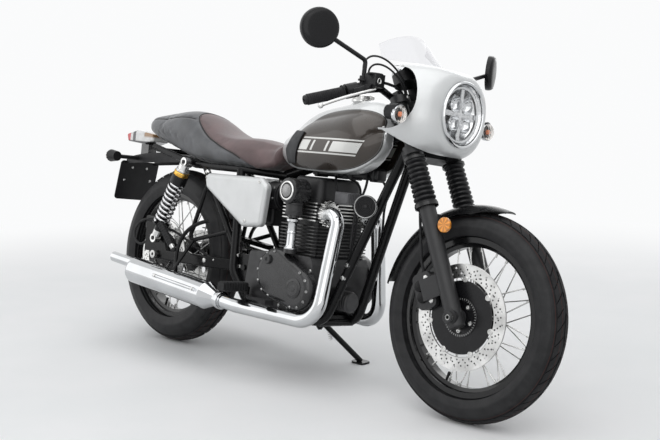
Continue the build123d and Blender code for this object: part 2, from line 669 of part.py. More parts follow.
top_origin = top_corner - Y_AXIS * top_corner.Y
screen_top_plane = Plane(origin=top_origin, x_dir=top_tilt, z_dir=top_tilt.cross(Y_AXIS))
top_run = (top_middle - top_corner).dot(top_tilt)
screen_sections = [
    crescent(Plane.XY.offset(SCREEN_FOOT_Z), SCREEN_LOW[0], SCREEN_LOW[1]),
    crescent(screen_top_plane, (0.0, top_corner.Y), (top_run, 0.0)),
]
with BuildPart() as windscreen:
    loft(sections=screen_sections)

LAMP_BACK = 1206.0
LAMP_FRONT = 1334.0
STAY_PLATE = (1176.0, 1262.0, LAMP_Z - 80.0, LAMP_Z - 22.0)
LENS_RADIUS = LAMP_RADIUS - 10.0
LENS_RISE = 12.0
lens_sphere = (LENS_RADIUS**2 + LENS_RISE**2) / (2 * LENS_RISE)
lens_mid = LAMP_FRONT + LENS_RISE - lens_sphere + sqrt(lens_sphere**2 - LENS_RADIUS**2 / 4)
with BuildPart() as headlight:
    with BuildSketch(Plane(origin=(0, 0, LAMP_Z), x_dir=(1, 0, 0), z_dir=(0, -1, 0))):
        with BuildLine():
            Line((LAMP_BACK, 0), (LAMP_BACK, 60))
            ThreePointArc((LAMP_BACK, 60), (LAMP_BACK + 18, 88), (LAMP_BACK + 54, 96))
            Line((LAMP_BACK + 54, 96), (LAMP_FRONT - 22, LAMP_RADIUS - 4))
            Line((LAMP_FRONT - 22, LAMP_RADIUS - 4), (LAMP_FRONT - 22, LAMP_RADIUS))
            Line((LAMP_FRONT - 22, LAMP_RADIUS), (LAMP_FRONT, LAMP_RADIUS))
            Line((LAMP_FRONT, LAMP_RADIUS), (LAMP_FRONT, LENS_RADIUS))
            ThreePointArc(
                (LAMP_FRONT, LENS_RADIUS), (lens_mid, LENS_RADIUS / 2), (LAMP_FRONT + LENS_RISE, 0)
            )
            Line((LAMP_FRONT + LENS_RISE, 0), (LAMP_BACK, 0))
        make_face()
    revolve(axis=Axis((0, 0, LAMP_Z), (1, 0, 0)))
    for side in (-1, 1):
        with BuildSketch(side_plane(side * (FORK_SPREAD - FORK_TUBE_RADIUS - SEAT_GAP))):
            with Locations(((STAY_PLATE[0] + STAY_PLATE[1]) / 2, (STAY_PLATE[2] + STAY_PLATE[3]) / 2)):
                RectangleRounded(STAY_PLATE[1] - STAY_PLATE[0], STAY_PLATE[3] - STAY_PLATE[2], 12)
        extrude(amount=6 * side)

GAUGE_RADIUS = 44.0
GAUGE_Y = 50.0
GAUGE_AHEAD, GAUGE_UP, GAUGE_DEPTH = 66.0, 804.0, 42.0
gauge_plane = Plane(origin=fork_point(GAUGE_AHEAD, 0, GAUGE_UP), x_dir=FORK_AHEAD, z_dir=FORK_UP)
with BuildPart(gauge_plane) as instruments:
    with Locations((0, GAUGE_Y), (0, -GAUGE_Y)):
        Cylinder(GAUGE_RADIUS, GAUGE_DEPTH, align=(Align.CENTER, Align.CENTER, Align.MAX))
    with Locations((0, 0, -GAUGE_DEPTH / 2)):
        Box(40, 2 * GAUGE_Y, GAUGE_DEPTH / 2, align=(Align.CENTER, Align.CENTER, Align.MAX))
    with Locations((-22, 0, -GAUGE_DEPTH / 2)):
        gauge_post = GAUGE_UP - GAUGE_DEPTH / 2 - UPPER_CLAMP[1]
        Box(24, 24, gauge_post, align=(Align.CENTER, Align.CENTER, Align.MAX))

SIGNAL_RADIUS = 27.0
SIGNAL_UP = 640.0
FRONT_SIGNAL = Vector(1240.0, 224.0, 903.0)
stalk_in = FORK_SPREAD + FORK_TUBE_RADIUS + SEAT_GAP
signal_stalks = {}
for side in (-1, 1):
    anchor = fork_point(FORK_OFFSET, side * stalk_in, SIGNAL_UP)
    elbow = anchor + Vector(0, side * 24, 0)
    goal = Vector(FRONT_SIGNAL.X, side * FRONT_SIGNAL.Y, FRONT_SIGNAL.Z)
    signal_stalks[side] = bent_tube([anchor, elbow, goal], 12, 7)
with BuildPart() as front_signals:
    for side in (-1, 1):
        add(signal_stalks[side])
        with BuildSketch(cross_plane(FRONT_SIGNAL.X - 18)):
            with Locations((side * FRONT_SIGNAL.Y, FRONT_SIGNAL.Z)):
                Circle(SIGNAL_RADIUS - 5)
        extrude(amount=44, taper=-6)

# Brake hoses: caliper up to a union under the lower clamp, and fluid reservoir to the upper clamp
HOSE_RADIUS = 4.5
HOSE_BEND = 24.0
HOSE_IN = -62.0
hose_start = reservoir_spot + Y_AXIS * (RESERVOIR[1] / 2 + SEAT_GAP)
lower_hose = bent_tube(
    [
        fork_point(-36, -67, 168.3),
        fork_point(-36, -67, 205),
        fork_point(-4, -66, 330),
        fork_point(FORK_OFFSET - 30, HOSE_IN, 440),
        fork_point(FORK_OFFSET - 30, HOSE_IN, LOWER_CLAMP[0] - SEAT_GAP),
    ],
    HOSE_BEND,
    HOSE_RADIUS,
)
upper_hose = bent_tube(
    [
        hose_start,
        hose_start + Vector(0, 40, 0),
        fork_point(FORK_OFFSET - 14, HOSE_IN, UPPER_CLAMP[1] + 44),
        fork_point(FORK_OFFSET - 14, HOSE_IN, UPPER_CLAMP[1] + SEAT_GAP),
    ],
    HOSE_BEND,
    HOSE_RADIUS,
)

# How the finished bike stands: turned bar, lean to the left, both tyres on the floor
turn_at_head = FORK.location
STEER = turn_at_head * Location((0, 0, 0), (0, 0, STEER_REST)) * turn_at_head.inverse()
lean_over = Location((0, 0, 0), (-LEAN, 0, 0))


def tyre_low(place, axle, radius, width):
    """Height of a round-shouldered tyre's lowest point once its wheel is placed."""
    hub = (place * Location(axle)).position
    spin = (place * Location(axle + Y_AXIS)).position - hub
    return hub.Z - (radius - width / 2) * sqrt(1 - spin.Z**2) - width / 2


front_low = tyre_low(lean_over * STEER, FRONT_AXLE, FRONT_TYRE_RADIUS, FRONT_TYRE_WIDTH)
rear_low = tyre_low(lean_over, REAR_AXLE, REAR_TYRE_RADIUS, REAR_TYRE_WIDTH)
pitch_down = Location((0, 0, 0), (0, degrees(atan2(front_low - rear_low, WHEELBASE)), 0))
rear_low = tyre_low(pitch_down * lean_over, REAR_AXLE, REAR_TYRE_RADIUS, REAR_TYRE_WIDTH)
PARK = Location((0, 0, -rear_low)) * pitch_down * lean_over

# Side stand, drawn as deployed; it hangs from a lug on the left cradle rail
STAND_PIVOT = Vector(706.0, 117.0, 176.0)
STAND_FOOT_AT = (764.0, 266.0)
STAND_FOLDED_WAY = Vector(-0.995, 0.05, 0.01).normalized()
STAND_RADIUS = 10.0
STAND_PIN_RADIUS = 8.0
STAND_SWING = 88.0
FOOT_SIZE = (62.0, 46.0, 7.0)
floor = Plane(PARK.inverse())
foot_on_floor = PARK * Location((STAND_FOOT_AT[0], STAND_FOOT_AT[1], 40.0))
foot_centre = floor.from_local_coords(
    Vector(foot_on_floor.position.X, foot_on_floor.position.Y, FOOT_SIZE[2])
)
stand_way = (foot_centre - STAND_PIVOT).normalized()
stand_axis = stand_way.cross(STAND_FOLDED_WAY).normalized()
STAND_LENGTH = (foot_centre - STAND_PIVOT).length
EYE_THICKNESS = 14.0
with BuildPart() as side_stand:
    with BuildSketch(Plane(origin=STAND_PIVOT, z_dir=stand_way)):
        Circle(STAND_RADIUS)
    extrude(amount=STAND_LENGTH)
    with BuildSketch(Plane(origin=STAND_PIVOT - stand_axis * (EYE_THICKNESS / 2), z_dir=stand_axis)):
        Circle(17)
    extrude(amount=EYE_THICKNESS)
    with BuildSketch(Plane(origin=foot_centre, x_dir=floor.x_dir, z_dir=floor.z_dir)):
        RectangleRounded(FOOT_SIZE[0], FOOT_SIZE[1], 14)
    extrude(amount=-FOOT_SIZE[2])
    with BuildSketch(Plane(origin=STAND_PIVOT - stand_axis * 20, z_dir=stand_axis)):
        Circle(STAND_PIN_RADIUS + HUB_CLEARANCE)
    extrude(amount=40, mode=Mode.SUBTRACT)

# Frame
HEAD_LOW = LOWER_CLAMP[1] + HEAD_GAP
HEAD_HIGH = UPPER_CLAMP[0] - HEAD_GAP
DOWN_TOP = (1140.0, 20.0, 800.0)
DOWN_FOOT = (905.0, 78.0, 212.0)
RAIL_REAR = (545.0, CRADLE_Y, 206.0)
PIVOT_POST = (462.0, 117.0, 330.0)
SEAT_JOINT = (430.0, 100.0, 688.0)
TAIL_END = (-120.0, 92.0, 742.0)
KICK_UP = (170.0, 104.0, 688.0)
SPINE_FRONT = (1120.0, 0.0, 862.0)
SPINE_REAR = (560.0, 0.0, 680.0)
STRUT_TOP = (225.0, 103.0, 688.0)
STRUT_FOOT = (448.0, 106.0, 400.0)
SHOCK_TOP = Vector(166.0, 150.0, 694.0)
SHOCK_FOOT = Vector(20.0, 150.0, 396.0)
SHOCK_PIN = 8.0
PEG_X, PEG_Z = 582.0, 288.0
PEG_IN = 147.0
PEG_STRUT_RADIUS = 9.0
LOOP_RADIUS = 8.0
LOOP_POINTS = [(404.0, 112.0, 462.0), (200.0, 128.0, 404.0), (262.0, 108.0, 640.0)]
HANGER = [(228.0, 128.0, 410.0), (228.0, 197.0, 312.0), (228.0, 198.5, 303.0)]

frame_tubes = []
for points in both_sides([DOWN_TOP, DOWN_FOOT, RAIL_REAR, PIVOT_POST, SEAT_JOINT]):
    frame_tubes.append(bent_tube(points, 70, CRADLE_RADIUS))
for points in both_sides([(SPINE_REAR[0] + 20, 12, SPINE_REAR[2]), SEAT_JOINT, KICK_UP, TAIL_END]):
    frame_tubes.append(bent_tube(points, 40, RAIL_RADIUS))
for points in both_sides([STRUT_TOP, STRUT_FOOT]):
    frame_tubes.append(bent_tube(points, 0, RAIL_RADIUS))
frame_tubes.append(bent_tube([SPINE_FRONT, SPINE_REAR], 0, BACKBONE_RADIUS))
cross_bars = [
    # x, z, half length, radius
    (880.0, 208.0, 80.0, 12.0),
    (600.0, 206.0, CRADLE_Y, 12.0),
    (SEAT_JOINT[0], SEAT_JOINT[2], SEAT_JOINT[1], RAIL_RADIUS),
    (-100.0, 731.5, 92.0, 9.0),
    (1040.0, 836.0, 37.7, 9.0),
    (700.0, 725.5, 37.7, 9.0),
]
for x, z, half, radius in cross_bars:
    frame_tubes.append(bent_tube([(x, -half, z), (x, half, z)], 0, radius))
for side in (-1, 1):
    frame_tubes.append(
        bent_tube(
            [(SHOCK_TOP.X, side * 100, SHOCK_TOP.Z), (SHOCK_TOP.X, side * (SHOCK_TOP.Y + 14), SHOCK_TOP.Z)],
            0,
            SHOCK_PIN,
        )
    )
for points in both_sides([(PEG_X, CRADLE_Y, 206.0), (PEG_X, PEG_IN, 206.0), (PEG_X, PEG_IN, PEG_Z)]):
    frame_tubes.append(bent_tube(points, 14, PEG_STRUT_RADIUS))
for points in both_sides(LOOP_POINTS):
    frame_tubes.append(bent_tube(points, 18, LOOP_RADIUS))
for points in both_sides(HANGER):
    frame_tubes.append(bent_tube(points, 6, 6))
STAND_PIN = (-24.0, 9.0)
stand_pin_ends = [STAND_PIVOT + stand_axis * reach for reach in STAND_PIN]
STAND_LUG = [(STAND_PIVOT.X, CRADLE_Y, 206.0), (STAND_PIVOT.X, 80.0, 180.0), stand_pin_ends[0]]
frame_tubes.append(bent_tube(STAND_LUG, 10, STAND_PIN_RADIUS - 0.5))
frame_tubes.append(bent_tube(stand_pin_ends, 0, STAND_PIN_RADIUS))
ENGINE_PADS = [860.0, 650.0]
with BuildPart() as frame:
    for tube in frame_tubes:
        add(tube)
    with BuildSketch(FORK.offset(HEAD_LOW)):
        Circle(HEAD_RADIUS)
    extrude(amount=HEAD_HIGH - HEAD_LOW)
    with BuildSketch(FORK.offset(HEAD_LOW)):
        Circle(STEM_RADIUS + HUB_CLEARANCE)
    extrude(amount=HEAD_HIGH - HEAD_LOW, mode=Mode.SUBTRACT)
    # pads that the engine stands on
    for x in ENGINE_PADS:
        with Locations((x, 0, ENGINE_BOTTOM)):
            Box(40, 2 * CRADLE_Y - 8, 26, align=(Align.CENTER, Align.CENTER, Align.MAX))
    # plates that hold the swingarm's pivot
    for side in (-1, 1):
        with BuildSketch(side_plane(side * 94)):
            with Locations((PIVOT_X - 14, PIVOT_Z)):
                RectangleRounded(84, 96, 14)
            with Locations((PIVOT_X, PIVOT_Z)):
                Circle(AXLE_RADIUS + HUB_CLEARANCE, mode=Mode.SUBTRACT)
        extrude(amount=-12 * side)

# Swingarm with its pivot shaft, and the two shocks
ARM_WIDTH, ARM_HEIGHT = 22.0, 42.0
REAR_CALIPER = (84.0, 46.0, 52.0)
ARM_POINTS = [
    (PIVOT_X, 62.0, PIVOT_Z),
    (436.0, 64.0, PIVOT_Z - 1),
    (300.0, ARM_Y, 341.0),
    (-28.0, ARM_Y, REAR_AXLE.Z),
]


def arm_bar(points):
    with BuildPart() as bar:
        with BuildLine() as route:
            FilletPolyline(*points, radius=60)
        with BuildSketch(Plane(origin=route.line @ 0, x_dir=(0, 1, 0), z_dir=route.line % 0)):
            RectangleRounded(ARM_WIDTH, ARM_HEIGHT, 6)
        sweep()
    return bar.part


arms = [arm_bar(points) for points in both_sides(ARM_POINTS)]
with BuildPart() as swingarm:
    for arm in arms:
        add(arm)
    with BuildSketch(side_plane(-80)):
        with Locations((PIVOT_X, PIVOT_Z)):
            Circle(PIVOT_RADIUS)
    extrude(amount=-160)
    with BuildSketch(side_plane(-112)):
        with Locations((PIVOT_X, PIVOT_Z)):
            Circle(AXLE_RADIUS)
    extrude(amount=-224)
    for side in (-1, 1):
        with BuildSketch(side_plane(side * (ARM_Y + ARM_WIDTH / 2 - 2))):
            with Locations((SHOCK_FOOT.X, SHOCK_FOOT.Z)):
                Circle(SHOCK_PIN)
        extrude(amount=-side * (SHOCK_FOOT.Y + 14 - ARM_Y - ARM_WIDTH / 2 + 2))
        with BuildSketch(side_plane(side * (ARM_Y - ARM_WIDTH / 2))):
            with BuildLine():
                Polyline(
                    (-20, 340),
                    (70, 340),
                    (SHOCK_FOOT.X + 14, SHOCK_FOOT.Z + 12),
                    (SHOCK_FOOT.X - 14, SHOCK_FOOT.Z + 12),
                    close=True,
                )
            make_face()
        extrude(amount=-side * ARM_WIDTH)
    # plate that carries the rear caliper
    with Locations((-43, -REAR_DISC_Y - REAR_CALIPER[1] / 2 - SEAT_GAP, 340)):
        Box(86, 8, 112, align=(Align.CENTER, Align.MAX, Align.MIN))
    with BuildSketch(side_plane(-ARM_Y - 40)):
        with Locations((0, REAR_AXLE.Z)):
            Circle(AXLE_RADIUS + HUB_CLEARANCE)
    extrude(amount=-2 * (ARM_Y + 40), mode=Mode.SUBTRACT)

shock_way = (SHOCK_TOP - SHOCK_FOOT).normalized()
shock_length = (SHOCK_TOP - SHOCK_FOOT).length
shock_frame = Plane(origin=SHOCK_FOOT, x_dir=(0, 1, 0), z_dir=shock_way)
EYE_RADIUS, EYE_WIDTH = 17.0, 24.0
SPRING_RADIUS, WIRE_RADIUS = 27.0, 4.5
SPRING_LOW, SPRING_HIGH = 72.0, 238.0
SPRING_TURNS = 9
with BuildPart(shock_frame) as left_shock:
    with Locations((0, 0, 0), (0, 0, shock_length)):
        Cylinder(EYE_RADIUS, EYE_WIDTH, rotation=(0, 90, 0))
    with Locations((0, 0, 12)):
        Cylinder(17, 80, align=(Align.CENTER, Align.CENTER, Align.MIN))
    with Locations((0, 0, 90)):
        Cylinder(9, shock_length - 110, align=(Align.CENTER, Align.CENTER, Align.MIN))
    with Locations((0, 0, SPRING_LOW - WIRE_RADIUS - 6 - SEAT_GAP)):
        Cylinder(SPRING_RADIUS + 5, 6, align=(Align.CENTER, Align.CENTER, Align.MIN))
    with Locations((0, 0, SPRING_HIGH + WIRE_RADIUS + SEAT_GAP)):
        Cylinder(SPRING_RADIUS + 4, 34, align=(Align.CENTER, Align.CENTER, Align.MIN))
    with Locations((0, 0, shock_length - 30)):
        Cylinder(20, 20, align=(Align.CENTER, Align.CENTER, Align.MIN))
    with Locations((0, 0, 0), (0, 0, shock_length)):
        Cylinder(SHOCK_PIN + HUB_CLEARANCE, 4 * EYE_WIDTH, rotation=(0, 90, 0), mode=Mode.SUBTRACT)
with BuildPart() as shocks:
    add(left_shock.part)
    mirror(about=Plane.XZ)

with BuildPart() as upright_spring:
    with BuildLine() as coil:
        Helix((SPRING_HIGH - SPRING_LOW) / SPRING_TURNS, SPRING_HIGH - SPRING_LOW, SPRING_RADIUS)
    with BuildSketch(Plane(origin=coil.line @ 0, z_dir=coil.line % 0)):
        Circle(WIRE_RADIUS)
    sweep(is_frenet=True)
left_spring = shock_frame.offset(SPRING_LOW).location * upright_spring.part
with BuildPart() as shock_springs:
    add(left_spring)
    mirror(about=Plane.XZ)

# Engine
CASE_OUTLINE = [
    (548.0, 300.0), (560.0, ENGINE_BOTTOM + 20), (600.0, ENGINE_BOTTOM), (846.0, ENGINE_BOTTOM),
    (874.0, 262.0), (892.0, 330.0), (880.0, 400.0), (868.0, ENGINE_DECK), (690.0, ENGINE_DECK),
    (560.0, 412.0),
]
with BuildPart() as crankcase:
    with BuildSketch(side_plane(-ENGINE_HALF_WIDTH)):
        with BuildLine():
            Polyline(*CASE_OUTLINE, close=True)
        make_face()
    extrude(amount=-2 * ENGINE_HALF_WIDTH)
    fillet(crankcase.edges().filter_by(Axis.Y), 12)

COVERS = {
    # side: circles of the cover's outline (x, z, radius), depth
    -1: ([(728.0, 352.0, 86.0), (842.0, 314.0, 72.0)], 40.0),
    1: ([(800.0, 340.0, 100.0), (650.0, 338.0, 62.0)], 44.0),
}


def engine_cover(side):
    """A domed side cover: overlapping round bosses with a softened rim."""
    circles, depth = COVERS[side]
    with BuildPart() as cover:
        with BuildSketch(side_plane(side * (ENGINE_HALF_WIDTH))):
            for x, z, radius in circles:
                with Locations((x, z)):
                    Circle(radius)
            make_hull()
        extrude(amount=-side * depth)
        outer = cover.faces().sort_by(Axis.Y)[0 if side < 0 else -1]
        fillet(outer.edges(), 22)
    return cover.part


engine_cover_right = engine_cover(-1)
engine_cover_left = engine_cover(1)

CORE_INSET = FIN_REACH


def finned_block(low, high):
    """A cylinder block with level cooling fins."""
    count = int((high - low) / FIN_PITCH)
    core_depth = CYLINDER_DEPTH - 2 * CORE_INSET
    core_width = 2 * (CYLINDER_HALF_WIDTH - CORE_INSET)
    with BuildPart() as block:
        with BuildSketch(Plane.XY.offset(low)):
            with Locations((CYLINDER_X, 0)):
                RectangleRounded(core_depth, core_width, 20)
        extrude(amount=high - low)
        for fin in range(count):
            with BuildSketch(Plane.XY.offset(low + (fin + 0.5) * FIN_PITCH)):
                with Locations((CYLINDER_X, 0)):
                    RectangleRounded(CYLINDER_DEPTH, 2 * CYLINDER_HALF_WIDTH, 16)
            extrude(amount=FIN_THICKNESS)
    return block.part


cylinders = finned_block(ENGINE_DECK, HEAD_FLOOR)
head_block = finned_block(HEAD_FLOOR, HEAD_FLOOR + HEAD_BLOCK)
with BuildPart() as cylinder_head:
    add(head_block)
    with BuildSketch(Plane.XY.offset(HEAD_FLOOR + HEAD_BLOCK - 6)):
        with Locations((CYLINDER_X - 4, 0)):
            RectangleRounded(150, 2 * 104, 30)
    extrude(amount=ENGINE_TOP - HEAD_FLOOR - HEAD_BLOCK + 6, taper=6)
    fillet(cylinder_head.faces().sort_by(Axis.Z)[-1].edges(), 14)
    for side in (-1, 1):
        with BuildSketch(cross_plane(CYLINDER_X)):
            with Locations((side * PORT_Y, PORT_Z)):
                Circle(30)
        extrude(amount=CYLINDER_DEPTH / 2 + 4)
        with BuildSketch(cross_plane(CYLINDER_X)):
            with Locations((side * 66.0, 612.0)):
                Circle(27)
        extrude(amount=-CYLINDER_DEPTH / 2 - 4)

# Bevel drive tower on the engine's right side
TOWER_X, TOWER_Y = 792.0, 157.3
with BuildPart(Plane(origin=(TOWER_X, -TOWER_Y, 0))) as bevel_drive:
    with Locations((0, 0, 429)):
        Cylinder(23, 14, align=(Align.CENTER, Align.CENTER, Align.MIN))
    with Locations((0, 0, 440)):
        Cylinder(14, 130, align=(Align.CENTER, Align.CENTER, Align.MIN))
    with Locations((0, 0, 548)):
        Cylinder(20, 12, align=(Align.CENTER, Align.CENTER, Align.MIN))
    with Locations((0, 0, 558)):
        Cylinder(27, 70, align=(Align.CENTER, Align.CENTER, Align.MIN))
    with Locations((0, 0, 636)):
        Cylinder(42, 62, rotation=(90, 0, 0))

# Induction: throttle bodies and air box
BOX_FRONT, BOX_BACK = 596.0, 352.0
BOX_WIDTH, BOX_HEIGHT, BOX_Z = 156.0, 150.0, 578.0
INTAKE_Y, INTAKE_Z = 66.0, 612.0
with BuildPart() as intake:
    with Locations(((BOX_FRONT + BOX_BACK) / 2, 0, BOX_Z)):
        Box(BOX_FRONT - BOX_BACK, BOX_WIDTH, BOX_HEIGHT)
    fillet(intake.edges(), 14)
    for side in (-1, 1):
        with BuildSketch(cross_plane(BOX_FRONT - 16)):
            with Locations((side * INTAKE_Y, INTAKE_Z)):
                Circle(48)
        extrude(amount=74)
        with BuildSketch(cross_plane(BOX_FRONT)):
            with Locations((side * INTAKE_Y, INTAKE_Z)):
                Circle(25)
        extrude(amount=CYLINDER_X - CYLINDER_DEPTH / 2 - 4 - BOX_FRONT)

# Exhaust
PORT_X = CYLINDER_X + CYLINDER_DEPTH / 2 + 4
MUFFLER_FRONT = Vector(512.0, 190.0, 226.0)
MUFFLER_REAR = Vector(-26.0, MUFFLER_Y, 270.0)
muffler_way = (MUFFLER_REAR - MUFFLER_FRONT).normalized()
sleeve_end = MUFFLER_FRONT - muffler_way * SEAT_GAP
sleeve_lead = MUFFLER_FRONT - muffler_way * 62.0
HEADER_POINTS = [
    (PORT_X, PORT_Y, PORT_Z),
    (940.0, PORT_Y, PORT_Z),
    (942.0, 150.0, 214.0),
    (sleeve_lead.X, sleeve_lead.Y, sleeve_lead.Z),
    (sleeve_end.X, sleeve_end.Y, sleeve_end.Z),
]
MUFFLER_LENGTH = (MUFFLER_REAR - MUFFLER_FRONT).length
CONE_LENGTH = 92.0
TIP_LENGTH = 128.0
TIP_RISE = 22.0
HEADER_BENDS = [40.0, 78.0, 78.0]
header_pipes = [bent_tube(points, HEADER_BENDS, PIPE_RADIUS) for points in both_sides(HEADER_POINTS)]
muffler_frame = Plane(origin=MUFFLER_FRONT, x_dir=(0, 1, 0), z_dir=muffler_way)
with BuildPart() as left_muffler:
    muffler_side = muffler_frame.y_dir.cross(muffler_way)
    with BuildSketch(Plane(origin=MUFFLER_FRONT, x_dir=muffler_frame.y_dir, z_dir=muffler_side)):
        with BuildLine():
            Polyline((0, 0), (PIPE_RADIUS + 4, 0), (PIPE_RADIUS + 4, 34), (PIPE_RADIUS, 36))
            Line((PIPE_RADIUS, 36), (MUFFLER_RADIUS, CONE_LENGTH))
            Line((MUFFLER_RADIUS, CONE_LENGTH), (MUFFLER_RADIUS, MUFFLER_LENGTH - 26))
            ThreePointArc(
                (MUFFLER_RADIUS, MUFFLER_LENGTH - 26),
                (MUFFLER_RADIUS - 7, MUFFLER_LENGTH - 7),
                (MUFFLER_RADIUS - 24, MUFFLER_LENGTH),
            )
            Line((MUFFLER_RADIUS - 24, MUFFLER_LENGTH), (0, MUFFLER_LENGTH))
            Line((0, MUFFLER_LENGTH), (0, 0))
        make_face()
    revolve(axis=Axis(MUFFLER_FRONT, muffler_way))
    tip_plane = muffler_frame.offset(MUFFLER_LENGTH - 4)
    with BuildSketch(tip_plane):
        with Locations((0, TIP_RISE if muffler_frame.y_dir.Z > 0 else -TIP_RISE)):
            Circle(TIP_RADIUS)
    extrude(amount=TIP_LENGTH + 4)
    with BuildSketch(tip_plane):
        with Locations((0, TIP_RISE if muffler_frame.y_dir.Z > 0 else -TIP_RISE)):
            Circle(TIP_RADIUS - 2.5)
    extrude(amount=TIP_LENGTH + 4, mode=Mode.SUBTRACT)
muffler_left = left_muffler.part
with BuildPart() as right_muffler:
    add(mirror(muffler_left, about=Plane.XZ))
muffler_right = right_muffler.part

COLLAR_FINS = 16
with BuildPart() as exhaust_collars:
    for side in (-1, 1):
        with BuildSketch(cross_plane(PORT_X + 6)):
            with Locations((side * PORT_Y, PORT_Z)):
                Circle(36)
                with PolarLocations(38, COLLAR_FINS):
                    RectangleRounded(12, 6, 2)
                Circle(PIPE_RADIUS + SEAT_GAP, mode=Mode.SUBTRACT)
        extrude(amount=16)

# Fuel tank with knee pads
TANK_SECTIONS = [
    # x, half width, bottom z, belly z, top z
    (604.0, 70.0, 742.0, 772.0, 838.0),
    (680.0, 106.0, 716.0, 768.0, 884.0),
    (800.0, 133.0, 709.0, 772.0, 931.0),
    (930.0, 143.0, 709.0, 782.0, 957.0),
    (1020.0, 132.0, 728.0, 802.0, 953.0),
    (1072.0, 100.0, 768.0, 832.0, 914.0),
    (1100.0, 72.0, 812.0, 850.0, 882.0),
]
FLOOR_SHARE, SHOULDER_SHARE, SHOULDER_RISE = 0.80, 0.60, 0.70


def tank_form(grow):
    """The tank's teardrop, swollen by grow on every side."""
    with BuildPart() as form:
        for x, half, low, belly, high in TANK_SECTIONS:
            foot, floor = half * FLOOR_SHARE, low - grow
            side = half + grow
            shoulder = half * SHOULDER_SHARE + grow
            shoulder_z = belly + (high - belly) * SHOULDER_RISE + grow
            with BuildSketch(cross_plane(x)):
                with BuildLine():
                    Line((-foot, floor), (foot, floor))
                    ThreePointArc((foot, floor), (side, belly), (shoulder, shoulder_z))
                    ThreePointArc((shoulder, shoulder_z), (0, high + grow), (-shoulder, shoulder_z))
                    ThreePointArc((-shoulder, shoulder_z), (-side, belly), (-foot, floor))
                make_face()
        loft()
    return form.part


TUNNEL_HALF = 38.0
CAP_X, CAP_TOP, CAP_RADIUS = 905.0, 972.0, 34.0
tank_body = tank_form(0)
tank_skin = tank_form(SEAT_GAP)
tank_swollen = tank_form(6.0)
with BuildPart() as fuel_tank:
    add(tank_body)
    with BuildSketch(side_plane(0)):
        with BuildLine():
            Polyline((560, 680), (1200, 680), (1200, 925), (1062, 925), (1040, 880), (560, 775), close=True)
        make_face()
    extrude(amount=TUNNEL_HALF, both=True, mode=Mode.SUBTRACT)
    with BuildSketch(FORK.offset(HEAD_LOW)):
        Circle(50)
    extrude(amount=240, mode=Mode.SUBTRACT)
    with BuildSketch(Plane.XY.offset(CAP_TOP)):
        with Locations((CAP_X, 0)):
            Circle(CAP_RADIUS)
    extrude(amount=-40)

PAD_OUTLINE = [(668.0, 726.0), (726.0, 728.0), (764.0, 838.0), (700.0, 842.0), (656.0, 776.0)]
with BuildPart() as knee_pads:
    add(tank_swollen)
    with BuildSketch(side_plane(0)):
        with BuildLine():
            Polyline(*PAD_OUTLINE, close=True)
        make_face()
    extrude(amount=400, both=True, mode=Mode.INTERSECT)
    add(tank_skin, mode=Mode.SUBTRACT)

# Seat
SEAT_SECTIONS = [
    # x, half width, bottom z, top z
    (-212.0, 60.0, 808.0, 846.0),
    (-150.0, 96.0, 786.0, 874.0),
    (-20.0, 112.0, 750.0, 886.0),
    (120.0, 122.0, 716.0, 876.0),
    (230.0, 126.0, 703.0, 828.0),
    (340.0, 125.0, 702.0, 803.0),
    (470.0, 112.0, 700.5, 798.0),
    (590.0, 84.0, 716.0, 806.0),
]
SEAT_EDGE_RISE = 0.55
SEAT_FOOT_SHARE = 0.9
SEAT_SHOULDER_SHARE, SEAT_SHOULDER_RISE = 0.72, 0.9
with BuildPart() as seat:
    for x, half, low, high in SEAT_SECTIONS:
        edge = low + (high - low) * SEAT_EDGE_RISE
        foot = half * SEAT_FOOT_SHARE
        shoulder = half * SEAT_SHOULDER_SHARE
        shoulder_z = low + (high - low) * SEAT_SHOULDER_RISE
        with BuildSketch(cross_plane(x)):
            with BuildLine():
                Line((-foot, low), (foot, low))
                ThreePointArc((foot, low), (half, edge), (shoulder, shoulder_z))
                ThreePointArc((shoulder, shoulder_z), (0, high), (-shoulder, shoulder_z))
                ThreePointArc((-shoulder, shoulder_z), (-half, edge), (-foot, low))
            make_face()
    loft()

# Side covers
SIDE_COVER_OUTLINE = [
    (284.0, 664.0),
    (598.0, 668.0),
    (636.0, 640.0),
    (622.0, 500.0),
    (520.0, 490.0),
    (300.0, 610.0),
]
COVER_IN, COVER_DEPTH = 129.0, 26.0
COVER_BOSS = (441.0, 560.0)
COVER_BOSS_REACH = 6.5


def side_cover(side):
    """A rounded triangular side panel."""
    with BuildPart() as panel:
        with BuildSketch(side_plane(side * COVER_IN)) as outline:
            with BuildLine():
                Polyline(*SIDE_COVER_OUTLINE, close=True)
            make_face()
            fillet(outline.vertices(), 22)
        extrude(amount=-side * COVER_DEPTH)
        outer = panel.faces().sort_by(Axis.Y)[0 if side < 0 else -1]
        fillet(outer.edges(), 16)
        with BuildSketch(side_plane(side * COVER_IN)):
            with Locations(COVER_BOSS):
                Circle(9)
        extrude(amount=side * COVER_BOSS_REACH)
    return panel.part


side_cover_right = side_cover(-1)
side_cover_left = side_cover(1)

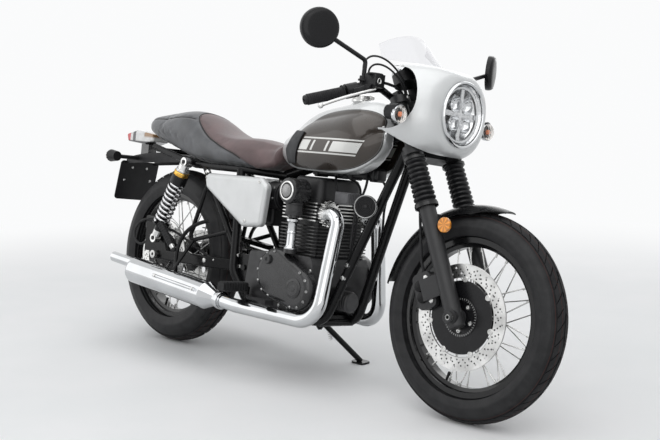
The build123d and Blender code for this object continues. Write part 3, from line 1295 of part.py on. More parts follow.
# Tail: mudguard, lamp, plate bracket, rear signals
GUARD_LINE = [(150.0, 704.0), (-90.0, 722.0), (-338.0, 688.0)]
TAIL_HALF = 70.0
TAIL_DEPTH = 38.0
with BuildPart() as rear_mudguard:
    with BuildSketch(side_plane(0)):
        with BuildLine():
            ThreePointArc(*GUARD_LINE)
            Line(GUARD_LINE[2], (GUARD_LINE[2][0], GUARD_LINE[2][1] - TAIL_DEPTH * 0.6))
            ThreePointArc(
                (GUARD_LINE[2][0], GUARD_LINE[2][1] - TAIL_DEPTH * 0.6),
                (GUARD_LINE[1][0], GUARD_LINE[1][1] - TAIL_DEPTH),
                (GUARD_LINE[0][0], GUARD_LINE[0][1] - 6),
            )
            Line((GUARD_LINE[0][0], GUARD_LINE[0][1] - 6), GUARD_LINE[0])
        make_face()
    extrude(amount=TAIL_HALF, both=True)
    with BuildSketch(side_plane(0)):
        with BuildLine():
            ThreePointArc(*[(x, z - GUARD_WALL) for x, z in GUARD_LINE])
            Line((GUARD_LINE[2][0], GUARD_LINE[2][1] - GUARD_WALL), (GUARD_LINE[2][0], 600))
            Line((GUARD_LINE[2][0], 600), (GUARD_LINE[0][0], 600))
            Line((GUARD_LINE[0][0], 600), (GUARD_LINE[0][0], GUARD_LINE[0][1] - GUARD_WALL))
        make_face()
    extrude(amount=TAIL_HALF - GUARD_WALL, both=True, mode=Mode.SUBTRACT)

LAMP_POST_Z = 704.1
LAMP_OUTLINE = [
    (-206.0, 764.0),
    (-216.0, 792.0),
    (-330.0, 803.0),
    (-398.0, 786.0),
    (-386.0, 756.0),
    (-262.0, 748.0),
]
with BuildPart() as tail_light:
    with BuildSketch(side_plane(0)):
        with BuildLine():
            Polyline(*LAMP_OUTLINE, close=True)
        make_face()
    extrude(amount=42, both=True)
    fillet(tail_light.edges(), 9)
    with Locations((-290, 0, LAMP_POST_Z)):
        Box(50, 40, 60, align=(Align.CENTER, Align.CENTER, Align.MIN))

PLATE_TOP = Vector(-342.2, 0, 676.0)
PLATE_FOOT = Vector(-372.0, 0, 518.0)
PLATE_HALF = 92.0
PLATE_THICKNESS = 4.0
PLATE_HOLE_RADIUS = 3.5
PLATE_HOLE_SPACING = 125.0
plate_down = (PLATE_FOOT - PLATE_TOP).normalized()
plate_middle = (PLATE_TOP + PLATE_FOOT) * 0.5
plate_plane = Plane(origin=plate_middle, x_dir=(0, 1, 0), z_dir=plate_down.cross(Y_AXIS))
PLATE_HEIGHT = (PLATE_FOOT - PLATE_TOP).length
with BuildPart() as plate_bracket:
    with BuildSketch(plate_plane):
        RectangleRounded(2 * PLATE_HALF, PLATE_HEIGHT, 14)
        with GridLocations(PLATE_HOLE_SPACING, PLATE_HOLE_SPACING, 2, 1):
            Circle(PLATE_HOLE_RADIUS, mode=Mode.SUBTRACT)
    extrude(amount=PLATE_THICKNESS)

REAR_SIGNAL = Vector(-262.0, 178.0, 690.0)
with BuildPart() as rear_signals:
    for side in (-1, 1):
        with BuildSketch(side_plane(side * (TAIL_HALF + SEAT_GAP))):
            with Locations((REAR_SIGNAL.X, REAR_SIGNAL.Z)):
                Circle(8)
        extrude(amount=-side * (REAR_SIGNAL.Y - TAIL_HALF))
        with BuildSketch(cross_plane(REAR_SIGNAL.X + 18)):
            with Locations((side * REAR_SIGNAL.Y, REAR_SIGNAL.Z)):
                Circle(SIGNAL_RADIUS - 8)
        extrude(amount=-42, taper=-7)

# Foot controls
PEG_RADIUS, PEG_LENGTH = 15.0, 110.0
with BuildPart() as footpegs:
    for side in (-1, 1):
        with BuildSketch(side_plane(side * (PEG_IN + PEG_STRUT_RADIUS + SEAT_GAP))):
            with Locations((PEG_X, PEG_Z)):
                RectangleRounded(34, 2 * PEG_RADIUS, 8)
        extrude(amount=-side * PEG_LENGTH)

# Horn and oil filter in front of the engine
with BuildPart() as oil_filter:
    with BuildSketch(cross_plane(889.8)):
        with Locations((0, 286)):
            Circle(34)
    extrude(amount=62)
    fillet(oil_filter.faces().sort_by(Axis.X)[-1].edges(), 8)

HORN_CENTRE = Vector(1062.0, -94.0, 612.0)
horn_way = Vector(0.5, -0.87, 0).normalized()
with BuildPart() as horn:
    with BuildSketch(Plane(origin=HORN_CENTRE - horn_way * 14, z_dir=horn_way)):
        Circle(30)
    extrude(amount=18)
    with BuildSketch(Plane(origin=HORN_CENTRE, z_dir=horn_way)):
        Circle(36)
    extrude(amount=14)
    with Locations((1063, -55.6, 612)):
        Box(16, 40, 22, align=(Align.CENTER, Align.MAX, Align.CENTER))

# Chain guard over the upper run, carried by a post on the swingarm
GUARD_TOP_LINE = [(418.0, 420.0), (110.0, 446.0), (20.0, 447.0)]
with BuildPart() as chain_guard:
    with BuildSketch(side_plane(CHAIN_Y + 14)):
        with BuildLine():
            Polyline(
                *GUARD_TOP_LINE, (20.0, 443.0), (110.0, 442.0), (418.0, 416.0), close=True
            )
        make_face()
    extrude(amount=28)
    with BuildSketch(side_plane(CHAIN_Y + 17)):
        with BuildLine():
            Polyline(*GUARD_TOP_LINE, (20.0, 424.0), (110.0, 422.0), (418.0, 398.0), close=True)
        make_face()
    extrude(amount=3)
    with Locations((200, CHAIN_Y + 17, 341 + ARM_HEIGHT / 2 + 1)):
        Box(20, 12, 62, align=(Align.CENTER, Align.MIN, Align.MIN))

# Brake pedal on the right, gear lever on the left
LEVER_Z = 258.0
LEVER_ROUTE = [(PEG_X + 9.6, 151.0, LEVER_Z), (640.0, 190.0, LEVER_Z), (742.0, 190.0, LEVER_Z)]
lever_bars = [bent_tube(points, 20, 6) for points in both_sides(LEVER_ROUTE)]
with BuildPart() as foot_levers:
    for bar in lever_bars:
        add(bar)
    with Locations((742, -197, LEVER_Z)):
        Box(34, 38, 15)
    with Locations((742, 197, LEVER_Z)):
        Cylinder(9, 38, rotation=(90, 0, 0))

# Rear caliper
with BuildPart() as rear_caliper:
    with Locations((-62, -REAR_DISC_Y, 448)):
        Box(*REAR_CALIPER)
    fillet(rear_caliper.edges().filter_by(Axis.Y), 12)
    with BuildSketch(side_plane(-REAR_DISC_Y - SLOT_HALF)):
        with Locations((0, REAR_AXLE.Z)):
            Circle(REAR_DISC_RADIUS + RUN_GAP)
    extrude(amount=-2 * SLOT_HALF, mode=Mode.SUBTRACT)

# Pieces by moving body; every node is exported in the parked pose
BODIES = {
    "chassis": {
        "frame": frame, "crankcase": crankcase, "engine_covers": [engine_cover_right, engine_cover_left],
        "cylinders": cylinders, "cylinder_head": cylinder_head,
        "bevel_drive": bevel_drive, "intake": intake,
        "exhaust_pipes": header_pipes, "exhaust_collars": exhaust_collars,
        "mufflers": [muffler_right, muffler_left], "fuel_tank": fuel_tank, "knee_pads": knee_pads,
        "seat": seat, "side_covers": [side_cover_right, side_cover_left],
        "swingarm": swingarm, "rear_axle": rear_axle, "shocks": shocks, "shock_springs": shock_springs,
        "chain": chain, "rear_mudguard": rear_mudguard, "tail_light": tail_light,
        "plate_bracket": plate_bracket, "rear_signals": rear_signals,
        "footpegs": [footpegs.part, foot_levers.part], "oil_filter": oil_filter,
        "rear_caliper": rear_caliper, "horn": horn, "chain_guard": chain_guard,
    },
    "rear_wheel": {
        "rear_tyre": rear_tyre, "rear_rim": rear_rim, "rear_hub": rear_hub, "rear_disc": rear_disc,
        "rear_sprocket": rear_sprocket,
    },
    "steering": {
        "fork_clamps": steering_clamps, "fork_legs": fork_legs, "fork_gaiters": fork_gaiters,
        "front_axle": front_axle, "brake_hose": [lower_hose, upper_hose],
        "front_mudguard": front_mudguard, "front_caliper": front_caliper,
        "reflectors": reflectors, "handlebar": handlebar_tube, "grips": grips,
        "bar_controls": bar_controls, "mirrors": mirrors, "cowl": cowl, "windscreen": windscreen,
        "headlight": headlight, "instruments": instruments, "front_signals": front_signals,
    },
    "front_wheel": {
        "front_tyre": front_tyre, "front_rim": front_rim, "front_hub": front_hub, "front_disc": front_disc,
    },
    "side_stand": {"side_stand": side_stand},
}
TURNED = ("steering", "front_wheel")


def as_shape(piece):
    """The finished shape of a builder, a part or a list of parts."""
    if isinstance(piece, BuildPart):
        return piece.part
    if isinstance(piece, list):
        return Compound(children=piece)
    return piece


placed = {}
for body, pieces in BODIES.items():
    stance = PARK * STEER if body in TURNED else PARK
    for name, piece in pieces.items():
        placed[name] = stance * as_shape(piece)
boxes = [shape.bounding_box() for shape in placed.values()]
middle_x = (min(box.min.X for box in boxes) + max(box.max.X for box in boxes)) / 2
middle_y = (min(box.min.Y for box in boxes) + max(box.max.Y for box in boxes)) / 2
ORIGIN = Location((-round(middle_x, 1), -round(middle_y, 1), 0))

os.makedirs("parts", exist_ok=True)
for name, shape in placed.items():
    shape = ORIGIN * shape
    shape.label = name
    export_step(shape, f"parts/{name}.step")
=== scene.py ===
"""Looks of a cafe racer motorcycle parked on its side stand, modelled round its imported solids."""

import json
import math

import bpy
from bpy.props import FloatProperty, FloatVectorProperty, PointerProperty
from mathutils import Matrix, Vector
from mathutils.bvhtree import BVHTree


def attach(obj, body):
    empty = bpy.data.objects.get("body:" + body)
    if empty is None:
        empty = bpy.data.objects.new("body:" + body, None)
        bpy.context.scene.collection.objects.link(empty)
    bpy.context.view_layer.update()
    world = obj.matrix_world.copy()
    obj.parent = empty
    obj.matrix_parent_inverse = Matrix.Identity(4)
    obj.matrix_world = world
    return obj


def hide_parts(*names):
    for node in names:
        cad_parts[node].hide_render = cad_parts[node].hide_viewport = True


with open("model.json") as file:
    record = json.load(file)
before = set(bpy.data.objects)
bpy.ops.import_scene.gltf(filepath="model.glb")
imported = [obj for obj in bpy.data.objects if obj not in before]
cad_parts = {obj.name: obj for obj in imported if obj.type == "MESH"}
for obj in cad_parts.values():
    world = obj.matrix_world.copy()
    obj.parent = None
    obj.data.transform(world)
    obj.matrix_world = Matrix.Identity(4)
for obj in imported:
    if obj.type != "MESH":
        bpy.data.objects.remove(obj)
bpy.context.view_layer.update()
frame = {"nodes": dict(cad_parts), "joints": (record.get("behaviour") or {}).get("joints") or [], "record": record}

bl_info = {
    "name": "Cafe Racer Looks",
    "version": (1, 0, 0),
    "blender": (4, 5, 0),
    "location": "View3D > Sidebar > Cafe Racer",
    "description": "Models the visible finish of a parked cafe racer round its solid parts",
    "category": "Object",
}

# The upright bike: x forward from the rear contact, y to the left, z up, in metres
RAKE = math.radians(26)
STEER_REST = math.radians(3)
REAR_AXLE = Vector((0, 0, 0.3325))
FRONT_AXLE = Vector((1.465, 0, 0.3185))
HEAD_FOOT = Vector((1.4165, 0, 0.2948))
JOINTS = {joint["name"]: joint for joint in frame["joints"]}


def axes_matrix(x, y, z, origin):
    """A matrix from three axes and an origin."""
    matrix = Matrix((x, y, z)).transposed().to_4x4()
    matrix.translation = origin
    return matrix


def parked_stance():
    """The matrix from the upright bike to the parked one, read from the wheel and steering axes."""
    across = Vector(JOINTS["rear_wheel_spin"]["axis"]).normalized()
    head = Vector(JOINTS["steering_turn"]["axis"]).normalized()
    ahead = across.cross(head).normalized()
    forward = math.cos(RAKE) * ahead - math.sin(RAKE) * head
    upward = math.sin(RAKE) * ahead + math.cos(RAKE) * head
    axle = Vector(JOINTS["rear_wheel_spin"]["pos_m"])
    return axes_matrix(forward, across, upward, axle - REAR_AXLE.z * upward)


BIKE = parked_stance()
FORK = axes_matrix(
    Vector((math.cos(RAKE), 0, math.sin(RAKE))),
    Vector((0, 1, 0)),
    Vector((-math.sin(RAKE), 0, math.cos(RAKE))),
    HEAD_FOOT,
)
STEERED = BIKE @ FORK @ Matrix.Rotation(STEER_REST, 4, "Z") @ FORK.inverted()
STANCES = {
    "chassis": BIKE,
    "rear_wheel": BIKE,
    "side_stand": BIKE,
    "steering": STEERED,
    "front_wheel": STEERED,
}


class RacerColours(bpy.types.PropertyGroup):
    """Colours of the bike's finishes."""

    black: FloatVectorProperty(
        name="Black Paint", description="Frame, fork and engine paint",
        subtype="COLOR", size=3, min=0, max=1, default=(0.006, 0.006, 0.0065),
    )
    silver: FloatVectorProperty(
        name="Silver Paint", description="Cowl, side covers and tank top",
        subtype="COLOR", size=3, min=0, max=1, default=(0.6, 0.61, 0.61),
    )
    panel: FloatVectorProperty(
        name="Tank Panel", description="Dark metallic panels on the tank's sides",
        subtype="COLOR", size=3, min=0, max=1, default=(0.03, 0.023, 0.018),
    )
    saddle: FloatVectorProperty(
        name="Saddle Leather", description="Brown insert of the seat",
        subtype="COLOR", size=3, min=0, max=1, default=(0.12, 0.08, 0.08),
    )
    shell: FloatVectorProperty(
        name="Hump Leather", description="Dark grey outer cover of the seat",
        subtype="COLOR", size=3, min=0, max=1, default=(0.078, 0.081, 0.087),
    )
    red: FloatVectorProperty(
        name="Red Lens", description="Tail lamp lens",
        subtype="COLOR", size=3, min=0, max=1, default=(0.55, 0.012, 0.015),
    )
    amber: FloatVectorProperty(
        name="Amber Lens", description="Fork reflectors and signal bulbs",
        subtype="COLOR", size=3, min=0, max=1, default=(0.92, 0.32, 0.02),
    )


class RacerSizes(bpy.types.PropertyGroup):
    """Sizes of the bike's trim."""

    camera_lens: FloatProperty(
        name="Lens", description="Focal length of the camera",
        subtype="DISTANCE_CAMERA", unit="CAMERA", default=63.96,
    )
    groove_depth: FloatProperty(
        name="Groove Depth", description="Depth of the tyres' tread grooves",
        unit="LENGTH", min=0.001, max=0.008, default=0.004,
    )
    seat_swell: FloatProperty(
        name="Seat Swell", description="How far the seat's foam may press its cover out",
        unit="LENGTH", min=0.002, max=0.016, default=0.009,
    )
    piping: FloatProperty(
        name="Piping", description="Radius of the piping along the seat's seams",
        unit="LENGTH", min=0.001, max=0.006, default=0.0026,
    )


def colours():
    """The colours set in the sidebar."""
    return bpy.context.scene.racer_colours


def sizes():
    """The sizes set in the sidebar."""
    return bpy.context.scene.racer_sizes


class Finish:
    """One procedural material, with patterns drawn in a place's own coordinates."""

    def __init__(self, name, place):
        self.material = bpy.data.materials.new(name)
        self.material.use_nodes = True
        self.tree = self.material.node_tree
        self.shader = self.tree.nodes["Principled BSDF"]
        inverse = place.inverted()
        mapping = self.node("ShaderNodeMapping", {"Vector": self.node("ShaderNodeTexCoord").outputs["Object"]})
        mapping.inputs["Location"].default_value = inverse.to_translation()
        mapping.inputs["Rotation"].default_value = inverse.to_euler("XYZ")
        self.place = mapping.outputs["Vector"]

    def node(self, kind, inputs=None, **settings):
        """A node with its settings, and its inputs set or linked."""
        made = self.tree.nodes.new(kind)
        for name, value in settings.items():
            setattr(made, name, value)
        for name, value in (inputs or {}).items():
            self.feed(made.inputs[name], value)
        return made

    def feed(self, socket, value):
        """Set a socket's value, or link it."""
        if isinstance(value, bpy.types.NodeSocket):
            self.tree.links.new(value, socket)
        elif socket.type == "RGBA" and len(value) == 3:
            socket.default_value = (*value, 1)
        else:
            socket.default_value = value

    def set(self, **sockets):
        """Set or link the shader's own sockets, named with underscores."""
        for name, value in sockets.items():
            self.feed(self.shader.inputs[name.replace("_", " ")], value)
        return self

    def noise(self, scale, detail=3.0, vector=None):
        """Soft noise from 0 to 1."""
        inputs = {"Vector": vector or self.place, "Scale": scale, "Detail": detail}
        return self.node("ShaderNodeTexNoise", inputs).outputs["Fac"]

    def cells(self, scale, feature="F1", vector=None):
        """Distance in a pattern of cells."""
        inputs = {"Vector": vector or self.place, "Scale": scale}
        return self.node("ShaderNodeTexVoronoi", inputs, feature=feature).outputs["Distance"]

    def ramp(self, factor, *stops, smooth=True):
        """A colour ramp of (position, colour) stops, where a colour may be one grey value."""
        made = self.node("ShaderNodeValToRGB", {"Fac": factor})
        made.color_ramp.interpolation = "EASE" if smooth else "CONSTANT"
        elements = made.color_ramp.elements
        while len(elements) < len(stops):
            elements.new(0.5)
        for element, (position, colour) in zip(elements, stops):
            element.position = position
            grey = isinstance(colour, (int, float))
            element.color = (colour, colour, colour, 1) if grey else (*colour, 1)
        return made.outputs["Color"]

    def mix(self, factor, first, second):
        """One colour passing to another."""
        made = self.node("ShaderNodeMix", data_type="RGBA")
        sockets = [socket for socket in made.inputs if socket.type == "RGBA"]
        self.feed(made.inputs[0], factor)
        self.feed(sockets[0], first)
        self.feed(sockets[1], second)
        return [socket for socket in made.outputs if socket.type == "RGBA"][0]

    def sum(self, operation, first, second=0.0):
        """Arithmetic on one or two values."""
        made = self.node("ShaderNodeMath", operation=operation)
        self.feed(made.inputs[0], first)
        self.feed(made.inputs[1], second)
        return made.outputs[0]

    def axes(self, vector=None):
        """The place's x, y and z."""
        split = self.node("ShaderNodeSeparateXYZ", {"Vector": vector or self.place})
        return [split.outputs[axis] for axis in "XYZ"]

    def radius(self, across="XZ"):
        """Distance from the place's own axis."""
        x, y, z = self.axes()
        pair = [axis for axis, name in zip((x, y, z), "XYZ") if name in across]
        squares = [self.sum("MULTIPLY", axis, axis) for axis in pair]
        return self.sum("SQRT", self.sum("ADD", *squares))

    def bump(self, height, strength, distance=0.001):
        """Relief on the shader's normal, over any relief already there."""
        inputs = {"Height": height, "Strength": strength, "Distance": distance}
        before = self.shader.inputs["Normal"].links
        if before:
            inputs["Normal"] = before[0].from_socket
        self.set(Normal=self.node("ShaderNodeBump", inputs).outputs["Normal"])
        return self


def tinted(colour, share):
    """A colour made lighter or darker by a share."""
    return tuple(min(1.0, channel * share) for channel in colour)


def paint(name, place, colour, roughness=0.32, metallic=0.0, coat=0.4, flake=0.0, shine=0.5):
    """Sprayed paint: slow change of tone, fine orange peel and, for metallics, flake."""
    made = Finish(name, place)
    tone = made.noise(9.0)
    body = made.ramp(tone, (0.3, tinted(colour, 0.95)), (0.7, tinted(colour, 1.05)))
    if flake:
        sparkle = made.ramp(made.cells(2600.0), (0.1, 1.0), (0.75, 0.0))
        body = made.mix(made.sum("MULTIPLY", sparkle, flake), body, tinted(colour, 1.35))
    made.set(Base_Color=body, Metallic=metallic, Coat_Weight=coat, Coat_Roughness=0.08, Specular_IOR_Level=shine)
    made.set(Roughness=made.ramp(made.noise(34.0), (0.3, roughness * 0.85), (0.75, roughness * 1.2)))
    return made.bump(made.noise(620.0, 1.0), 0.05, 0.0004)


def cast_metal(name, place, colour, roughness=0.46, metallic=0.0, grain=900.0, relief=0.16):
    """Painted or bare castings with a sand-cast grain and a slow random change of tone."""
    made = Finish(name, place)
    tone = made.noise(14.0, 5.0)
    made.set(Base_Color=made.ramp(tone, (0.3, tinted(colour, 0.75)), (0.72, tinted(colour, 1.3))))
    made.set(Metallic=metallic, Specular_IOR_Level=0.5)
    made.set(Roughness=made.ramp(made.noise(60.0), (0.3, roughness * 0.85), (0.7, roughness * 1.2)))
    return made.bump(made.noise(grain, 2.0), relief, 0.0006)


def bright_metal(name, place, colour, roughness=0.12, brushed=(1.0, 1.0, 1.0), relief=0.03):
    """Plated or polished metal with faint polishing marks drawn out along one way."""
    made = Finish(name, place)
    stretched = made.node("ShaderNodeMapping", {"Vector": made.place})
    stretched.inputs["Scale"].default_value = brushed
    marks = made.noise(240.0, 4.0, stretched.outputs["Vector"])
    made.set(Base_Color=made.ramp(made.noise(7.0), (0.3, tinted(colour, 0.93)), (0.75, tinted(colour, 1.04))))
    made.set(Metallic=1.0)
    made.set(Roughness=made.ramp(marks, (0.3, roughness * 0.7), (0.75, roughness * 1.5)))
    return made.bump(marks, relief, 0.0003)


def moulded(name, place, colour, roughness=0.55, grain=1500.0, relief=0.12, shine=0.3):
    """Moulded plastic or rubber with a fine grained skin."""
    made = Finish(name, place)
    made.set(Base_Color=made.ramp(made.noise(20.0), (0.3, tinted(colour, 0.8)), (0.7, tinted(colour, 1.25))))
    made.set(Roughness=made.ramp(made.noise(45.0), (0.3, roughness * 0.88), (0.72, roughness * 1.15)))
    made.set(Specular_IOR_Level=shine)
    return made.bump(made.cells(grain), relief, 0.0005)


def two_tone(made, share, first, second, relief=0.08):
    """Two finishes parted by a mask, each given as (colour, metallic, roughness)."""
    tone = made.noise(18.0, 4.0)
    shades = [made.ramp(tone, (0.3, tinted(shade[0], 0.8)), (0.7, tinted(shade[0], 1.2)))
              for shade in (first, second)]
    made.set(Base_Color=made.mix(share, *shades), Specular_IOR_Level=0.3)
    made.set(Metallic=made.ramp(share, (0.0, first[1]), (1.0, second[1])))
    made.set(Roughness=made.ramp(share, (0.0, first[2]), (1.0, second[2])))
    return made.bump(made.noise(700.0, 2.0), relief, 0.0004)


GLOSS_BLACK = ((0.008, 0.008, 0.009), 0.0, 0.26)
CAST_BLACK = ((0.02, 0.02, 0.021), 0.0, 0.42)
BARE_STEEL = ((0.6, 0.6, 0.59), 1.0, 0.26)


def laced_hub(name, place, axle, edge):
    """A black hub that carries bare steel spokes."""
    made = Finish(name, place @ wheel_place(axle))
    return two_tone(made, step_at(made, made.radius("XY"), edge), GLOSS_BLACK, BARE_STEEL)


def brake_disc(name, place, axle, edge):
    """A bare brake ring with turning marks on a black carrier."""
    made = Finish(name, place @ wheel_place(axle))
    radius = made.radius("XY")
    two_tone(made, step_at(made, radius, edge), GLOSS_BLACK, ((0.66, 0.66, 0.65), 1.0, 0.3))
    turned = made.sum("SINE", made.sum("MULTIPLY", radius, 5200.0))
    return made.bump(turned, 0.05, 0.0003)


def cast_fins(name, place, edge=(0.42, 0.42, 0.41)):
    """Black cooling fins whose edges are machined bare."""
    made = Finish(name, place)
    x, y, _ = made.axes()
    along = made.sum("DIVIDE", made.sum("ABSOLUTE", made.sum("SUBTRACT", x, 0.782)), 0.093)
    across = made.sum("DIVIDE", made.sum("ABSOLUTE", y), 0.126)
    share = step_at(made, made.sum("MAXIMUM", along, across), 0.988, 0.006)
    return two_tone(made, share, CAST_BLACK, (edge, 1.0, 0.32), 0.14)


def damper(name, place):
    """A black damper with bare eyes at both ends."""
    made = Finish(name, place @ facing((0.166, 0, 0.694), (-0.146, 0, -0.298)))
    _, _, z = made.axes()
    share = made.sum("SUBTRACT", 1.0, within(made, z, 0.03, 0.296))
    return two_tone(made, share, GLOSS_BLACK, ((0.7, 0.7, 0.69), 1.0, 0.24))


def tail_lens(name, place):
    """Tail lamp: a red end lens, clear sides and a black foot."""
    made = Finish(name, place)
    x, y, z = made.axes()
    red, amber = tuple(colours().red), (0.3, 0.16, 0.06)
    body = made.ramp(made.noise(40.0), (0.3, (0.62, 0.62, 0.61)), (0.7, (0.74, 0.74, 0.73)))
    warm = made.sum("MULTIPLY", step_at(made, x, -0.272, 0.004), step_at(made, z, 0.778, 0.004))
    body = made.mix(warm, body, amber)
    body = made.mix(within(made, x, -0.35, -0.33, 0.002), body, (0.02, 0.02, 0.022))
    body = made.mix(made.sum("SUBTRACT", 1.0, step_at(made, x, -0.366, 0.002)), body, red)
    foot = made.sum("SUBTRACT", 1.0, step_at(made, z, 0.76, 0.002))
    made.set(Base_Color=made.mix(foot, body, (0.01, 0.01, 0.011)), Coat_Weight=0.8, Coat_Roughness=0.04)
    made.set(Roughness=made.ramp(made.noise(60.0), (0.3, 0.16), (0.7, 0.24)))
    ribs = made.sum("SINE", made.sum("MULTIPLY", y, 900.0))
    return made.bump(ribs, 0.1, 0.0008)


def amber_prisms(name, place):
    """An amber reflector moulded in eight sectors of fine prisms, the sectors painted lighter and darker amber as a
    painted reflection.
    """
    made = Finish(name, place @ FORK @ Matrix.Translation((0.106, 0, 0.272)))
    x, _, z = made.axes()
    turn = made.sum("MULTIPLY", made.sum("ARCTAN2", z, x), 4.0)
    sector = made.sum("ABSOLUTE", made.sum("SINE", turn))
    amber = tuple(colours().amber)
    # Painted reflection: lighter and darker copies of one amber by sector, standing in for light thrown back by the
    # prisms
    shade = made.ramp(sector, (0.05, tinted(amber, 1.25)), (0.35, amber), (0.95, tinted(amber, 0.62)))
    prisms = made.cells(420.0)
    made.set(Base_Color=shade, Coat_Weight=1.0, Coat_Roughness=0.05)
    made.set(Roughness=made.ramp(prisms, (0.1, 0.22), (0.7, 0.36)))
    made.bump(sector, 0.35, 0.002)
    return made.bump(prisms, 0.3, 0.0012)


FINISHES = {}


def finish(kind, body):
    """The material of a kind of finish for a body, made once."""
    key = f"{kind}_{body}"
    if key not in FINISHES:
        FINISHES[key] = RECIPES[kind](key, STANCES[body]).material
    return FINISHES[key]


def recipe(make, *values, **settings):
    """A finish to be made later for a body, from its function and settings."""
    return lambda name, place: make(name, place, *values, **settings)


RECIPES = {
    "black_paint": lambda name, place: paint(name, place, colours().black, 0.26, coat=0.08, shine=0.14),
    "satin_black": recipe(paint, (0.022, 0.022, 0.023), 0.42, coat=0.0, shine=0.4),
    "inner_black": recipe(moulded, (0.007, 0.007, 0.008), 0.6),
    "engine_black": recipe(cast_metal, (0.02, 0.02, 0.021), 0.42),
    "rim_black": lambda name, place: paint(name, place, colours().black, 0.2, coat=0.3, shine=0.3),
    "silver_paint": lambda name, place: paint(name, place, colours().silver, 0.4, 0.35, 0.3, 0.3),
    "chrome": recipe(bright_metal, (0.6, 0.61, 0.62), 0.08),
    "polished_alloy": recipe(bright_metal, (0.66, 0.66, 0.65), 0.2),
    "steel": recipe(bright_metal, (0.62, 0.62, 0.61), 0.3, relief=0.08),
    "dark_steel": recipe(bright_metal, (0.3, 0.3, 0.3), 0.3, relief=0.08),
    "spring_chrome": recipe(bright_metal, (0.62, 0.62, 0.63), 0.12),
    "gold": recipe(bright_metal, (0.83, 0.52, 0.12), 0.26),
    "grey_cast": recipe(cast_metal, (0.11, 0.11, 0.115), 0.5),
    "rubber": recipe(moulded, (0.012, 0.012, 0.013), 0.6),
    "gaiter_rubber": recipe(moulded, (0.007, 0.007, 0.008), 0.34, 900.0, 0.06),
    "pad_rubber": recipe(moulded, (0.04, 0.041, 0.043), 0.6, 900.0),
    "black_plastic": recipe(moulded, (0.008, 0.008, 0.009), 0.42),
    "piping_leather": recipe(moulded, (0.02, 0.018, 0.018), 0.5, 900.0),
    "thread": recipe(moulded, (0.055, 0.042, 0.04), 0.7, 2400.0),
    "lamp_bowl": recipe(bright_metal, (0.8, 0.81, 0.82), 0.16),
    "mirror_gloss": recipe(paint, (0.006, 0.006, 0.007), 0.24, coat=0.1, shine=0.2),
    "mirror_glass": recipe(bright_metal, (0.8, 0.83, 0.85), 0.03),
    "signal_lens": lambda name, place: clear_glass(name, place, (1.0, 0.97, 0.94), 0.05, 900.0),
    "gauge_glass": lambda name, place: clear_glass(name, place),
    "front_hub_lacquer": recipe(laced_hub, FRONT_AXLE, 0.056),
    "rear_hub_lacquer": recipe(laced_hub, REAR_AXLE, 0.066),
    "front_disc_steel": recipe(brake_disc, FRONT_AXLE, 0.1185),
    "rear_disc_steel": recipe(brake_disc, REAR_AXLE, 0.0935),
    "cover_black": recipe(cast_metal, (0.016, 0.016, 0.017), 0.25, relief=0.06),
    "cylinder_fins": recipe(cast_fins, (0.07, 0.07, 0.07)),
    "head_fins": recipe(cast_fins, (0.6, 0.6, 0.59)),
    "damper": damper,
    "tail_lens": tail_lens,
    "amber_prisms": amber_prisms,
    "amber_bulb": recipe(paint, (0.8, 0.24, 0.1), 0.2, coat=0.8),
    "dial_black": recipe(moulded, (0.01, 0.01, 0.011), 0.5, 2600.0, 0.04),
    "dial_white": recipe(moulded, (0.75, 0.74, 0.7), 0.45, 2600.0, 0.04),
}

# Finish of each solid that shows as it is
NODE_FINISHES = {
    "black_paint": ("frame", "swingarm", "front_mudguard", "side_stand", "chain_guard", "handlebar"),
    "satin_black": ("fork_legs", "fork_clamps", "rear_caliper", "front_caliper"),
    "engine_black": ("crankcase", "oil_filter"),
    "cover_black": ("engine_covers", "bevel_drive"),
    "cylinder_fins": ("cylinders",),
    "head_fins": ("cylinder_head",),
    "rim_black": ("front_rim", "rear_rim"),
    "front_hub_lacquer": ("front_hub",),
    "rear_hub_lacquer": ("rear_hub",),
    "front_disc_steel": ("front_disc",),
    "rear_disc_steel": ("rear_disc",),
    "silver_paint": ("cowl", "side_covers", "fuel_tank"),
    "chrome": ("exhaust_pipes", "mufflers", "headlight"),
    "spring_chrome": ("shock_springs",),
    "damper": ("shocks",),
    "polished_alloy": ("exhaust_collars",),
    "steel": ("front_axle", "rear_axle", "rear_sprocket", "chain"),
    "rubber": ("front_tyre", "rear_tyre", "grips", "brake_hose", "knee_pads", "footpegs"),
    "gaiter_rubber": ("fork_gaiters",),
    "tail_lens": ("tail_light",),
    "amber_prisms": ("reflectors",),
    "black_plastic": ("intake", "rear_mudguard", "plate_bracket", "rear_signals", "front_signals", "horn",
                      "mirrors", "instruments", "seat", "windscreen", "bar_controls"),
}


def let_go():
    """Leave edit mode and deselect everything."""
    if bpy.context.mode != "OBJECT":
        bpy.ops.object.mode_set(mode="OBJECT")
    bpy.ops.object.select_all(action="DESELECT")


def take(*pieces):
    """Select these pieces alone, the first one active."""
    let_go()
    for piece in pieces:
        piece.select_set(True)
    bpy.context.view_layer.objects.active = pieces[0]
    return pieces[0]


def give_finish(piece, *materials):
    """Put materials on a piece's slots."""
    piece.data.materials.clear()
    for material in materials:
        piece.data.materials.append(material)


def smooth_copy(node, name):
    """A merged copy of a solid, still bare."""
    piece = bpy.data.objects.new(name, frame["nodes"][node].data.copy())
    bpy.context.scene.collection.objects.link(piece)
    take(piece)
    bpy.ops.object.mode_set(mode="EDIT")
    bpy.ops.mesh.select_all(action="SELECT")
    bpy.ops.mesh.remove_doubles(threshold=0.00002)
    let_go()
    return piece


